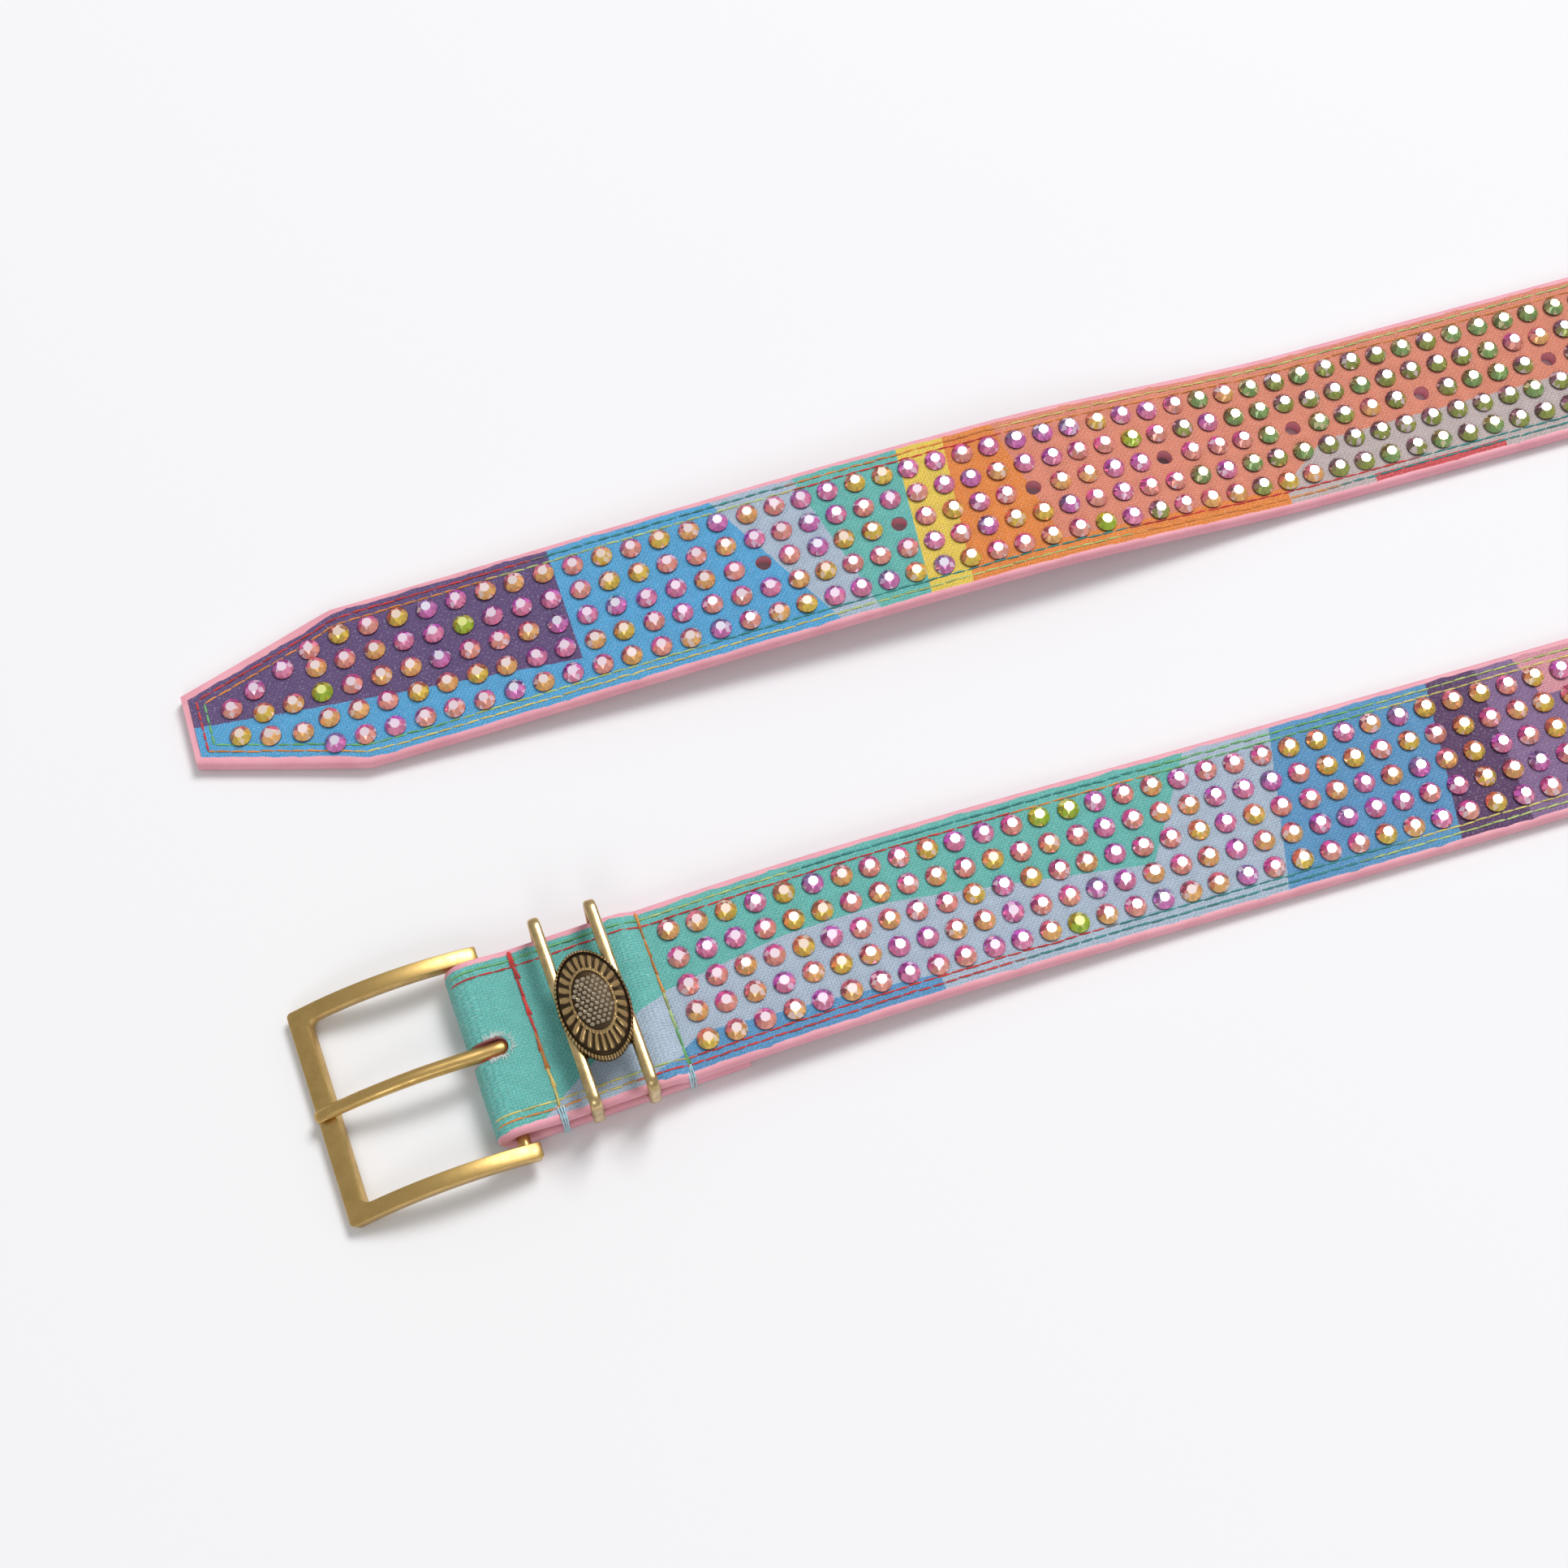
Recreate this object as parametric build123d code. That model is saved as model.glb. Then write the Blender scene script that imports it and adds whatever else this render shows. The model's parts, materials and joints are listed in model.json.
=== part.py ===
from build123d import *
import math
import os

# Stone-studded waist belt, 40 mm class, laid on a flat surface with both ends face up, side by side.
# The hidden middle stands on its edge and turns back in a half circle.
# Millimetres. +X runs along the buckle end away from the buckle, +Y towards the tip end, +Z up.
# The origin is on the surface, under the centre line of the strap at its first column of stones.

# Strap
strap_width = 39.5
lining_thickness = 1.4
core_thickness = 1.2
face_thickness = 0.7
face_inset = 1.1
tip_face_inset = 2.0
nose_width = 17.7
taper_length = 36.2
fold_to_tip = 1050.0

# Plan route of the strap
bend_turn = -2.8
bend_length = 100.0
run_spacing = 87.2
twist_length = 110.0
tip_x = -88.0

# Folded end, hinge bar and the gap that the keeper's wires pass through
bar_x = -42.8
bar_z = 5.2
bar_radius = 1.4
fold_inner_radius = 1.9
flap_end_x = 7.0
keeper_gap_top = 5.7
flap_gap = 0.2
lifted_until_x = 130.0
arch_height = 6.0
slot_width = 4.4
slot_end_x = -39.6

# Stones and punched holes
stone_pitch = 6.36
stone_radius = 2.35
stone_table_radius = 1.25
stone_height = 1.9
row_count = 5
first_regular_back = 30.4
hole_radius = 1.8
hole_count = 7
hole_every = 5
first_hole_column = 16

# Thread
thread_width = 0.5
thread_height = 0.35
trim_lift = 0.05
tip_stone_lift = 0.22
outer_stitch_inset = 2.5
inner_stitch_inset = 4.0
cross_stitch_x = (-33.5, -5.75)
cross_stitch_half = 16.9

# Buckle
frame_shift_y = -0.6
frame_outer_width = 48.6
frame_inner_width = 41.8
frame_thickness = 3.2
frame_front_x = -81.1
window_front_x = -77.3
frame_end_x = -40.2
frame_arc_radius = 57.0
front_bar_z = 2.27
front_bar_x = -78.6
bar_socket = 2.2
bar_socket_clearance = 0.02
prong_radius = 1.45
prong_eye_radius = 3.0
prong_eye_width = 3.2
prong_eye_clearance = 0.08
prong_tip_x = -81.8

# Keeper
wire_width = 2.6
wire_thickness = 1.8
wire_x = (-26.7, -14.4)
keeper_centre_y = 0.2
keeper_inner_width = 40.6
keeper_bottom_z = 3.6
keeper_height = 13.1
boss_length = 24.6
boss_width = 15.2
boss_wall = 1.8
boss_rise = 3.6
boss_shift_y = -1.3
backplate_thickness = 0.8
pave_radius = 0.62
pave_height = 0.5
pave_spacing = 1.4

strap_thickness = lining_thickness + core_thickness + face_thickness
half_width = strap_width / 2
face_bottom = lining_thickness + core_thickness
turn_radius = run_spacing / 2
turn_length = math.pi * turn_radius
keeper_x = sum(wire_x) / 2
boss_y = keeper_centre_y + boss_shift_y
keeper_top = keeper_bottom_z + keeper_height

# The two runs are as long as the strap's whole length leaves room for
fold_outer_radius = fold_inner_radius + strap_thickness
slanted = math.radians(bend_turn)
buckle_leg = -bar_x
tip_reach = (buckle_leg + bend_length - tip_x + bar_x) / math.cos(slanted)
unbent_length = fold_to_tip - fold_outer_radius - buckle_leg - bend_length - turn_length
buckle_run = (unbent_length - tip_reach) / 2 - twist_length
tip_run = buckle_run + tip_reach

legs = [
    (buckle_leg, 0.0),
    (bend_length, bend_turn),
    (buckle_run + twist_length, 0.0),
    (turn_length, 180.0),
    (twist_length + tip_run, 0.0),
]
strap_length = sum(length for length, turn in legs)
twist_start = buckle_leg + bend_length + buckle_run
turn_start = twist_start + twist_length
turn_end = turn_start + turn_length
untwist_end = turn_end + twist_length
shoulder = strap_length - taper_length


def smooth(value, low, high):
    """A ramp from 0 at low to 1 at high with level ends."""
    part = min(max((value - low) / (high - low), 0.0), 1.0)
    return part * part * (3 - 2 * part)


def route(s):
    """Plan position and heading of the centre line at distance s from the hinge bar."""
    x, y, heading = bar_x, 0.0, 0.0
    for length, turn in legs:
        step = min(max(s, 0.0), length)
        end = heading + math.radians(turn) * step / length
        if turn:
            radius = length / math.radians(turn)
            x += radius * (math.sin(end) - math.sin(heading))
            y += radius * (math.cos(heading) - math.cos(end))
        else:
            x += step * math.cos(heading)
            y += step * math.sin(heading)
        heading = end
        s -= length
        if s <= 0:
            break
    return x, y, heading


def lift(s):
    """Height of the lining above the surface where the strap lies flat."""
    x = s + bar_x
    over_bar = bar_z + fold_inner_radius
    on_flap = lining_thickness + core_thickness + face_thickness + flap_gap
    height = over_bar - (over_bar - keeper_gap_top) * smooth(x, bar_x, bar_x + 9)
    height -= (keeper_gap_top - on_flap) * smooth(x, wire_x[1] + 3.8, cross_stitch_x[1])
    height -= on_flap * smooth(x, flap_end_x, lifted_until_x)
    back = strap_length - s
    arch = smooth(back, 4, 175) * (1 - smooth(back, 190, 265))
    return height + arch_height * arch


def twist(s):
    """Roll of the section: 0 face up, 90 degrees standing on its edge with the face outwards."""
    return math.pi / 2 * (smooth(s, twist_start, turn_start) - smooth(s, turn_end, untwist_end))


def section(s):
    """Centre of the lining surface, direction across the strap and direction out of the face."""
    x, y, heading = route(s)
    roll = twist(s)
    left = Vector(-math.sin(heading), math.cos(heading), 0)
    up = Vector(0, 0, 1)
    across = left * math.cos(roll) + up * math.sin(roll)
    normal = up * math.cos(roll) - left * math.sin(roll)
    return Vector(x, y, lift(s) + half_width * math.sin(roll)), across, normal


def fold_section(angle):
    """A section of the fold round the hinge bar: 0 degrees on top, 180 underneath."""
    normal = Vector(-math.sin(math.radians(angle)), 0, math.cos(math.radians(angle)))
    return Vector(bar_x, 0, bar_z) + normal * fold_inner_radius, Vector(0, 1, 0), normal


def ribbon_stations():
    """Distances along the strap at which its section is taken."""
    ramps = [3 * i for i in range(16)]
    lower = list(range(48, 180, 12))
    curved = [first_column + i * pitch for i in range(column_count + 1)]
    curved = [s for s in curved if twist_start - pitch < s < untwist_end + pitch]
    upper = [strap_length - back for back in range(285, 40, -15)]
    return ramps + lower + curved + upper + [shoulder, strap_length]


def ribbon_sections():
    flap = [(Vector(x, 0, strap_thickness), Vector(0, 1, 0), Vector(0, 0, -1)) for x in (flap_end_x, -20)]
    fold = [fold_section(angle) for angle in range(180, 0, -15)]
    half = [half_width] * (len(flap) + len(fold))
    stations = ribbon_stations()
    half += [outline(s) for s in stations]
    return flap + fold + [section(s) for s in stations], half


def outline(s):
    """Half width of the strap at distance s: parallel, then tapered to the blunt tip."""
    past = max(s - shoulder, 0) / taper_length
    return half_width - (half_width - nose_width / 2) * past


# The stones sit on one even grid from the first column to the tip's last regular column
first_column = -bar_x
last_column = strap_length - first_regular_back
column_count = round((last_column - first_column) / stone_pitch)
pitch = (last_column - first_column) / column_count


def strip(sections, spans, low, high):
    """A solid along the sections between two offsets across and two heights out of the face."""
    wires = []
    for (centre, across, normal), (near, far) in zip(sections, spans):
        corners = [
            centre + across * near + normal * low,
            centre + across * far + normal * low,
            centre + across * far + normal * high,
            centre + across * near + normal * high,
        ]
        wires.append(Wire.make_polygon(corners, close=True))
    return Solid.make_loft(wires, ruled=True)


def slot_tool(square):
    """The prong's slot through the fold; its end is round in the face and square in the hidden layers."""
    reach = 12
    straight = slot_end_x - bar_x + reach - (0 if square else slot_width / 2)
    slot = Pos(bar_x - reach + straight / 2, frame_shift_y, 0) * Box(straight, slot_width, 40)
    if not square:
        slot += Pos(slot_end_x - slot_width / 2, frame_shift_y, 0) * Cylinder(slot_width / 2, 40)
    return slot


def cut_slot_and_holes(layer, square):
    layer = layer - slot_tool(square)
    for column in hole_columns():
        x, y, heading = route(last_column - column * pitch)
        layer = layer - Pos(x, y, 0) * Cylinder(hole_radius, 60)
    return layer


def split_at_slot(layer):
    """The layer as four touching solids: the run, the flap and the fold on each side of the slot."""
    fold_side = Pos(slot_end_x - 50, 0, 0) * Box(100, 1.5 * strap_width, 200)
    folds = layer & fold_side
    lengths = layer - fold_side
    return Compound(children=[*lengths.solids(), *folds.solids()])


def hole_columns():
    return [first_hole_column + hole_every * i for i in range(hole_count)]


def strap_layers():
    sections, half = ribbon_sections()
    full = [(-h, h) for h in half]
    narrow = [h - face_inset for h in half[:-1]] + [half[-1] - tip_face_inset]
    face_spans = [(-h, h) for h in narrow]
    face_sections = sections[:-1] + [section(strap_length - face_inset)]
    lining = strip(sections, full, 0, lining_thickness)
    core = strip(sections, full, lining_thickness, face_bottom)
    face = strip(face_sections, face_spans, face_bottom, strap_thickness)
    return {
        "strap_lining": split_at_slot(cut_slot_and_holes(lining, square=True)),
        "strap_core": split_at_slot(cut_slot_and_holes(core, square=True)),
        "strap_face": cut_slot_and_holes(face, square=False),
    }


def edge_stitching():
    """Two parallel lines of thread along each long edge, following the taper of the tip."""
    lines = {}
    stations = [s for s in ribbon_stations() if s > 6]
    sections = [section(s) for s in stations[:-1]] + [section(strap_length - outer_stitch_inset)]
    for name, inset in (("outer", outer_stitch_inset), ("inner", inner_stitch_inset)):
        for side, sign in (("far", 1), ("near", -1)):
            middles = [sign * (outline(s) - inset) for s in stations]
            spans = [(m - thread_width / 2, m + thread_width / 2) for m in middles]
            base = strap_thickness + trim_lift
            line = strip(sections, spans, base, base + thread_height)
            lines[f"edge_stitch_{name}_{side}"] = line
    return lines


def cross_stitching():
    """Rows of thread across the fold, and the loops that whip them over the near edge."""
    rows = {}
    for name, x in zip(("front", "rear"), cross_stitch_x):
        centre, across, normal = section(x - bar_x)
        top = centre.Z + strap_thickness
        row = Box(0.9, 2 * cross_stitch_half - 3, 0.5)
        rows[f"cross_stitch_{name}"] = Pos(x, 0, top + thread_height + 0.3) * row
        loop = Box(1.3, 0.3, top + 0.6)
        lip = Box(1.3, 2.2, 0.4)
        near = -half_width - 0.2
        whip = Pos(x, near, (top + 0.6) / 2) * loop
        whip += Pos(x, near + 0.9, top + 0.4) * lip
        rows[f"edge_whip_{name}"] = whip
    return rows


def stone_bands():
    """Each of the five rows of stones as one band, interrupted round the adjustment holes."""
    bands = {}
    for row in range(row_count):
        offset = (row - (row_count - 1) / 2) * stone_pitch
        low = first_column - stone_radius
        outer_row = row in (0, row_count - 1)
        high = shoulder - stone_radius if outer_row else last_column + stone_radius
        stations = [low] + [s for s in ribbon_stations() if low < s < high] + [high]
        spans = [(offset - stone_radius, offset + stone_radius)] * len(stations)
        top = strap_thickness + stone_height
        band = strip([section(s) for s in stations], spans, strap_thickness + trim_lift, top)
        if row == 2:
            for column in hole_columns():
                x, y, heading = route(last_column - column * pitch)
                band = band - Pos(x, y, 0) * Cylinder(stone_radius + 0.6, 60)
        bands[f"stone_row_{row + 1}"] = band
    return bands


def tip_stones():
    """The stones that follow the taper of the tip: distance back from it and offset across."""
    pattern = [
        (30.0, -11.1), (23.4, -8.0), (16.3, -5.2), (10.3, -2.1), (23.6, 0.6), (16.8, 0.9),
        (24.1, 8.0), (17.1, 6.6), (10.9, 4.6),
    ]
    stone = Solid.make_cone(stone_radius, stone_table_radius, stone_height)
    stones = []
    for back, offset in pattern:
        centre, across, normal = section(strap_length - back)
        seat = centre + across * offset + normal * (strap_thickness + tip_stone_lift)
        stones.append(stone.moved(Plane(origin=seat, x_dir=across, z_dir=normal).location))
    return Compound(children=stones)


def frame_arc_centre():
    """Centre, in side view, of the arc that the frame is bowed to."""
    half_x = (bar_x - front_bar_x) / 2
    half_z = (bar_z - front_bar_z) / 2
    half_chord = math.hypot(half_x, half_z)
    drop = math.sqrt(frame_arc_radius ** 2 - half_chord ** 2)
    x = front_bar_x + half_x + drop * half_z / half_chord
    z = front_bar_z + half_z - drop * half_x / half_chord
    return x, z


def plan_block(x_low, x_high, width, corner):
    """A tall block with rounded plan corners, centred on the buckle's own line."""
    outline_sketch = RectangleRounded(x_high - x_low, width, corner)
    place = Pos((x_low + x_high) / 2, frame_shift_y, -20)
    return place * extrude(outline_sketch, 60)


def along_y(radius, length):
    return Rot(90, 0, 0) * Cylinder(radius, length)


def buckle_frame():
    x, z = frame_arc_centre()
    band = along_y(frame_arc_radius + frame_thickness / 2, frame_outer_width + 2)
    band -= along_y(frame_arc_radius - frame_thickness / 2, frame_outer_width + 4)
    band = Pos(x, frame_shift_y, z) * band
    frame = band & plan_block(frame_front_x, frame_end_x, frame_outer_width, 0.8)
    frame -= plan_block(window_front_x, frame_end_x + 20, frame_inner_width, 1.6)
    frame = frame & Pos(0, 0, 50) * Box(400, 400, 100)
    socket = along_y(bar_radius + bar_socket_clearance, frame_inner_width + 2 * bar_socket)
    return frame - Pos(bar_x, frame_shift_y, bar_z) * socket


def hinge_bar():
    bar = along_y(bar_radius, frame_inner_width + 2 * bar_socket)
    return Pos(bar_x, frame_shift_y, bar_z) * bar


def prong():
    """An eye round the hinge bar and a bowed rod whose tip rests over the frame's front bar."""
    slope = math.asin((frame_arc_centre()[0] - front_bar_x) / frame_arc_radius)
    stand_off = frame_thickness / 2 + 0.35 + prong_radius
    over_front = Vector(
        front_bar_x - stand_off * math.sin(slope), frame_shift_y, front_bar_z + stand_off * math.cos(slope)
    )
    start = Vector(bar_x - 1.2, frame_shift_y, bar_z + 1.5)
    middle = (start + over_front) * 0.5 + Vector(0, 0, 2.8)
    arc = Edge.make_three_point_arc(start, middle, over_front)
    rod_plane = Plane(origin=start, z_dir=arc.tangent_at(0))
    rod = sweep(rod_plane * Circle(prong_radius), path=Wire([arc]))
    leaving = arc.tangent_at(1)
    tip_length = (over_front.X - prong_tip_x) / -leaving.X
    tip_plane = Plane(origin=over_front, z_dir=leaving)
    tip = tip_plane * Solid.make_cone(prong_radius, prong_radius * 0.62, tip_length)
    eye = Pos(bar_x, frame_shift_y, bar_z) * along_y(prong_eye_radius, prong_eye_width)
    bore = Pos(bar_x, frame_shift_y, bar_z) * along_y(bar_radius + prong_eye_clearance, 10)
    return rod + tip + eye - bore


def keeper_loop(x):
    """One bent wire loop standing across the strap."""
    outer_width = keeper_inner_width + 2 * wire_thickness
    side = Plane.YZ
    outer = side * RectangleRounded(outer_width, keeper_height, 2.4)
    inner_height = keeper_height - 2 * wire_thickness
    inner = side * RectangleRounded(keeper_inner_width, inner_height, 0.8)
    ring = extrude(outer - inner, wire_width / 2, both=True)
    return Pos(x, keeper_centre_y, keeper_bottom_z + keeper_height / 2) * ring


def boss_body():
    """An oval with upright sides and a domed top, as a stack of similar many-sided rings."""
    rings = [(1, 0)] + [(math.cos(math.radians(a)), boss_rise * math.sin(math.radians(a))) for a in range(0, 90, 12)]
    wires = []
    for i, (share, rise) in enumerate(rings):
        height = rise + (boss_wall if i else 0)
        around = [math.radians(7.5 * k) for k in range(48)]
        corners = [
            Vector(share * boss_width / 2 * math.cos(a), share * boss_length / 2 * math.sin(a), height)
            for a in around
        ]
        wires.append(Wire.make_polygon(corners, close=True))
    return Solid.make_loft(wires, ruled=True)


def boss_surface(x, y):
    """Height of the boss's domed top above its rim plane."""
    inside = 1 - (2 * x / boss_width) ** 2 - (2 * y / boss_length) ** 2
    return boss_wall + boss_rise * math.sqrt(max(inside, 0))


def pave_places():
    """Small stones in staggered rows that fill an oval in the middle of the boss."""
    places = []
    for row in range(-3, 4):
        for column in range(-3, 4):
            x = (column + 0.5 * (row % 2)) * pave_spacing
            y = row * pave_spacing * 0.9
            if math.hypot(x / boss_width, y / boss_length) < 0.2:
                places.append((x, y))
    return places


def keeper_parts():
    loops = [keeper_loop(x) for x in wire_x]
    rim_z = keeper_top - wire_thickness + backplate_thickness
    boss = Pos(keeper_x, boss_y, rim_z) * boss_body()
    for loop in loops:
        boss = boss - loop
    between = wire_x[1] - wire_x[0] - wire_width
    plate = Pos(keeper_x, boss_y, rim_z - backplate_thickness / 2)
    plate = plate * Box(between, boss_length * 0.8, backplate_thickness)
    stones = []
    for x, y in pave_places():
        seat = rim_z + boss_surface(x, y) - pave_height / 2
        stones.append(Pos(keeper_x + x, boss_y + y, seat) * Cylinder(pave_radius, pave_height))
    for stone in stones:
        boss = boss - stone
    return {
        "keeper_loop_front": loops[0],
        "keeper_loop_rear": loops[1],
        "boss_backplate": plate,
        "keeper_boss": boss,
        "boss_pave": Compound(children=stones),
    }


def all_parts():
    parts = {"buckle_frame": buckle_frame(), "hinge_bar": hinge_bar(), "prong": prong()}
    parts.update(strap_layers())
    parts.update(stone_bands())
    parts["tip_stones"] = tip_stones()
    parts.update(edge_stitching())
    parts.update(cross_stitching())
    parts.update(keeper_parts())
    return parts


def main():
    os.makedirs("parts", exist_ok=True)
    parts = all_parts()
    for name, part in parts.items():
        export_step(part, f"parts/{name}.step")
    print("strap", round(strap_length, 1), "run", round(buckle_run, 1))
    print("stone pitch", round(pitch, 3), "columns", column_count + 1)


main()
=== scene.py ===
import json
import math
import random

import bpy
import numpy as np
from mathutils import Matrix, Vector
from mathutils.kdtree import KDTree


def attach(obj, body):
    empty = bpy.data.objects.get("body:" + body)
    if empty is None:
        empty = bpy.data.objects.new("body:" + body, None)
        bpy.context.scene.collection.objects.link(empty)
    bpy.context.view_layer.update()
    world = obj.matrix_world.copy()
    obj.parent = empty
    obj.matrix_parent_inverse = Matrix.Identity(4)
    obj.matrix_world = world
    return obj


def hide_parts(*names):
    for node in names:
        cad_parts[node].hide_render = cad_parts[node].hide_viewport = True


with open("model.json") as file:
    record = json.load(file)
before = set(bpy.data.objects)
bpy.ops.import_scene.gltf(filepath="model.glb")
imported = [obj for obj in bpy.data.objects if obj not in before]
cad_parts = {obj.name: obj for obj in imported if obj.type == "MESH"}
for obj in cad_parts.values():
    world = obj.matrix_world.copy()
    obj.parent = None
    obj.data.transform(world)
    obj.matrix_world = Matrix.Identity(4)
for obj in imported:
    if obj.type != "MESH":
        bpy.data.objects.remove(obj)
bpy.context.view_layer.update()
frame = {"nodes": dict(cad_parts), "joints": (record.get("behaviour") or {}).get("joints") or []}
random.seed(7)
noise = np.random.default_rng(11)

# Lengths are in millimetres until a mesh is made, which is when they become metres.
MM = 0.001

hinge = next(j for j in frame["joints"] if j["name"] == "buckle_hinge")
bar_x, buckle_y, bar_z = (v / MM for v in hinge["pos_m"])

# Strap, as in the CAD model
strap_width = 39.5
thickness = 3.3
half_width = strap_width / 2
nose_width = 17.7
taper_length = 36.2
fold_to_tip = 1050.0
bend_turn = -2.8
bend_length = 100.0
run_spacing = 87.2
twist_length = 110.0
tip_x = -88.0
fold_radius = 1.9
flap_end_x = 7.0
keeper_gap_top = 5.7
on_flap = 3.5
lifted_until_x = 130.0
arch_height = 6.0
slot_width = 4.4
slot_end_x = -39.6
wire_x = (-26.7, -14.4)
cross_stitch_x = (-33.5, -5.75)

turn_length = math.pi * run_spacing / 2
fold_outer_radius = fold_radius + thickness
tip_reach = (bend_length - tip_x) / math.cos(math.radians(bend_turn))
unbent = fold_to_tip - fold_outer_radius + bar_x - bend_length - turn_length
buckle_run = (unbent - tip_reach) / 2 - twist_length
legs = [
    (-bar_x, 0.0),
    (bend_length, bend_turn),
    (buckle_run + twist_length, 0.0),
    (turn_length, 180.0),
    (twist_length + buckle_run + tip_reach, 0.0),
]
strap_length = sum(length for length, turn in legs)
twist_start = -bar_x + bend_length + buckle_run
turn_start = twist_start + twist_length
turn_end = turn_start + turn_length
untwist_end = turn_end + twist_length
shoulder = strap_length - taper_length
fold_length = math.pi * fold_radius
flap_length = flap_end_x - bar_x

# Stones and holes
stone_radius = 2.35
stone_height = 1.9
nominal_pitch = 6.36
buckle_side_pitch = 6.42
hidden_pitch = 6.4
first_regular_back = 30.4
columns_before_holes = 15
columns_past_holes = 36
buckle_side_columns = 41
first_column = -bar_x
last_column = strap_length - first_regular_back
column_count = round((last_column - first_column) / nominal_pitch)
pitch = (last_column - first_column) / column_count
hole_radius = 1.8
hole_backs = [first_regular_back + pitch * (16 + 5 * i) for i in range(7)]


# ---------------------------------------------------------------- the strap's path
def ramp(value, low, high):
    part = min(max((value - low) / (high - low), 0.0), 1.0)
    return part * part * (3 - 2 * part)


def route(s):
    x, y, heading = bar_x, 0.0, 0.0
    for length, turn in legs:
        step = min(max(s, 0.0), length)
        end = heading + math.radians(turn) * step / length
        if turn:
            radius = length / math.radians(turn)
            x += radius * (math.sin(end) - math.sin(heading))
            y += radius * (math.cos(heading) - math.cos(end))
        else:
            x += step * math.cos(heading)
            y += step * math.sin(heading)
        heading = end
        s -= length
        if s <= 0:
            break
    return x, y, heading


def lift(s):
    x = s + bar_x
    over_bar = bar_z + fold_radius
    height = over_bar - (over_bar - keeper_gap_top) * ramp(x, bar_x, bar_x + 9)
    height -= (keeper_gap_top - on_flap) * ramp(x, wire_x[1] + 3.8, cross_stitch_x[1])
    height -= on_flap * ramp(x, flap_end_x, lifted_until_x)
    back = strap_length - s
    return height + arch_height * ramp(back, 4, 175) * (1 - ramp(back, 190, 265))


def roll(s):
    return math.pi / 2 * (ramp(s, twist_start, turn_start) - ramp(s, turn_end, untwist_end))


def flat_centre(s):
    x, y, heading = route(s)
    return np.array([x, y, lift(s) + half_width * math.sin(roll(s))]), heading


def place(s):
    """Centre of the lining, direction across, direction out of the face, at distance s from the bar."""
    if s < -fold_length:
        x = bar_x - s - fold_length
        return np.array([x, 0, thickness]), np.array([0.0, 1, 0]), np.array([0.0, 0, -1])
    if s < 0:
        angle = -s / fold_radius
        out = np.array([-math.sin(angle), 0, math.cos(angle)])
        return np.array([bar_x, 0, bar_z]) + out * fold_radius, np.array([0.0, 1, 0]), out
    centre, heading = flat_centre(s)
    ahead, _ = flat_centre(s + 0.5)
    behind, _ = flat_centre(max(s - 0.5, 0))
    along = (ahead - behind) / np.linalg.norm(ahead - behind)
    left = np.array([-math.sin(heading), math.cos(heading), 0])
    up = np.array([0.0, 0, 1])
    tilt = roll(s)
    across = left * math.cos(tilt) + up * math.sin(tilt)
    across -= along * (across @ along)
    across /= np.linalg.norm(across)
    return centre, across, np.cross(along, across)


def on_strap(s, t, n):
    centre, across, out = place(s)
    return centre + across * t + out * n


def outline(s):
    past = max(s - shoulder, 0) / taper_length
    return half_width - (half_width - nose_width / 2) * past


def stations(step, low=-fold_length - flap_length, high=None):
    """Distances along the strap, close together round the fold."""
    high = strap_length if high is None else high
    flap = list(np.arange(low, -fold_length, 2.0)) if low < -fold_length else []
    fold = list(np.linspace(-fold_length, 0, 25)) if low < 0 else []
    start = 0.6 if low < 0 else low
    run = list(np.arange(start, high, step))
    return np.array(flap + fold + run + [high])


# ---------------------------------------------------------------- meshes
def make_object(name, points, faces, smooth=True):
    mesh = bpy.data.meshes.new(name)
    mesh.from_pydata((np.asarray(points) * MM).tolist(), [], faces)
    mesh.validate()
    mesh.polygons.foreach_set("use_smooth", [smooth] * len(mesh.polygons))
    mesh.update()
    piece = bpy.data.objects.new(name, mesh)
    bpy.context.scene.collection.objects.link(piece)
    return piece


def ring_faces(rings, around, closed=True, caps=True, start=0):
    """Quads between successive rings of points, with the two ends closed."""
    faces = []
    last = around if closed else around - 1
    for i in range(rings - 1):
        for j in range(last):
            k = (j + 1) % around
            a = start + i * around
            b = a + around
            faces.append((a + j, a + k, b + k, b + j))
    if caps:
        faces.append(tuple(start + j for j in reversed(range(around))))
        faces.append(tuple(start + (rings - 1) * around + j for j in range(around)))
    return faces


def loft(name, rings, smooth=True, caps=True):
    rings = np.asarray(rings)
    count, around = rings.shape[:2]
    faces = ring_faces(count, around, caps=caps)
    return make_object(name, rings.reshape(-1, 3), faces, smooth)


def set_float(piece, name, values):
    attribute = piece.data.attributes.new(name, "FLOAT", "POINT")
    attribute.data.foreach_set("value", np.asarray(values, np.float32))


def set_colour(piece, name, values, domain="POINT"):
    attribute = piece.data.attributes.new(name, "FLOAT_COLOR", domain)
    rgba = np.ones((len(values), 4), np.float32)
    rgba[:, :3] = values
    attribute.data.foreach_set("color", rgba.ravel())


def by_angle(piece, degrees):
    """Smooth shading that keeps edges sharper than this angle."""
    piece.data.set_sharp_from_angle(angle=math.radians(degrees))


def finish_piece(piece, body, material, slot, *nodes):
    piece.data.materials.clear()
    piece.data.materials.append(material)
    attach(piece, body)
    if nodes:
        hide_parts(*nodes)
    return piece


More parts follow.
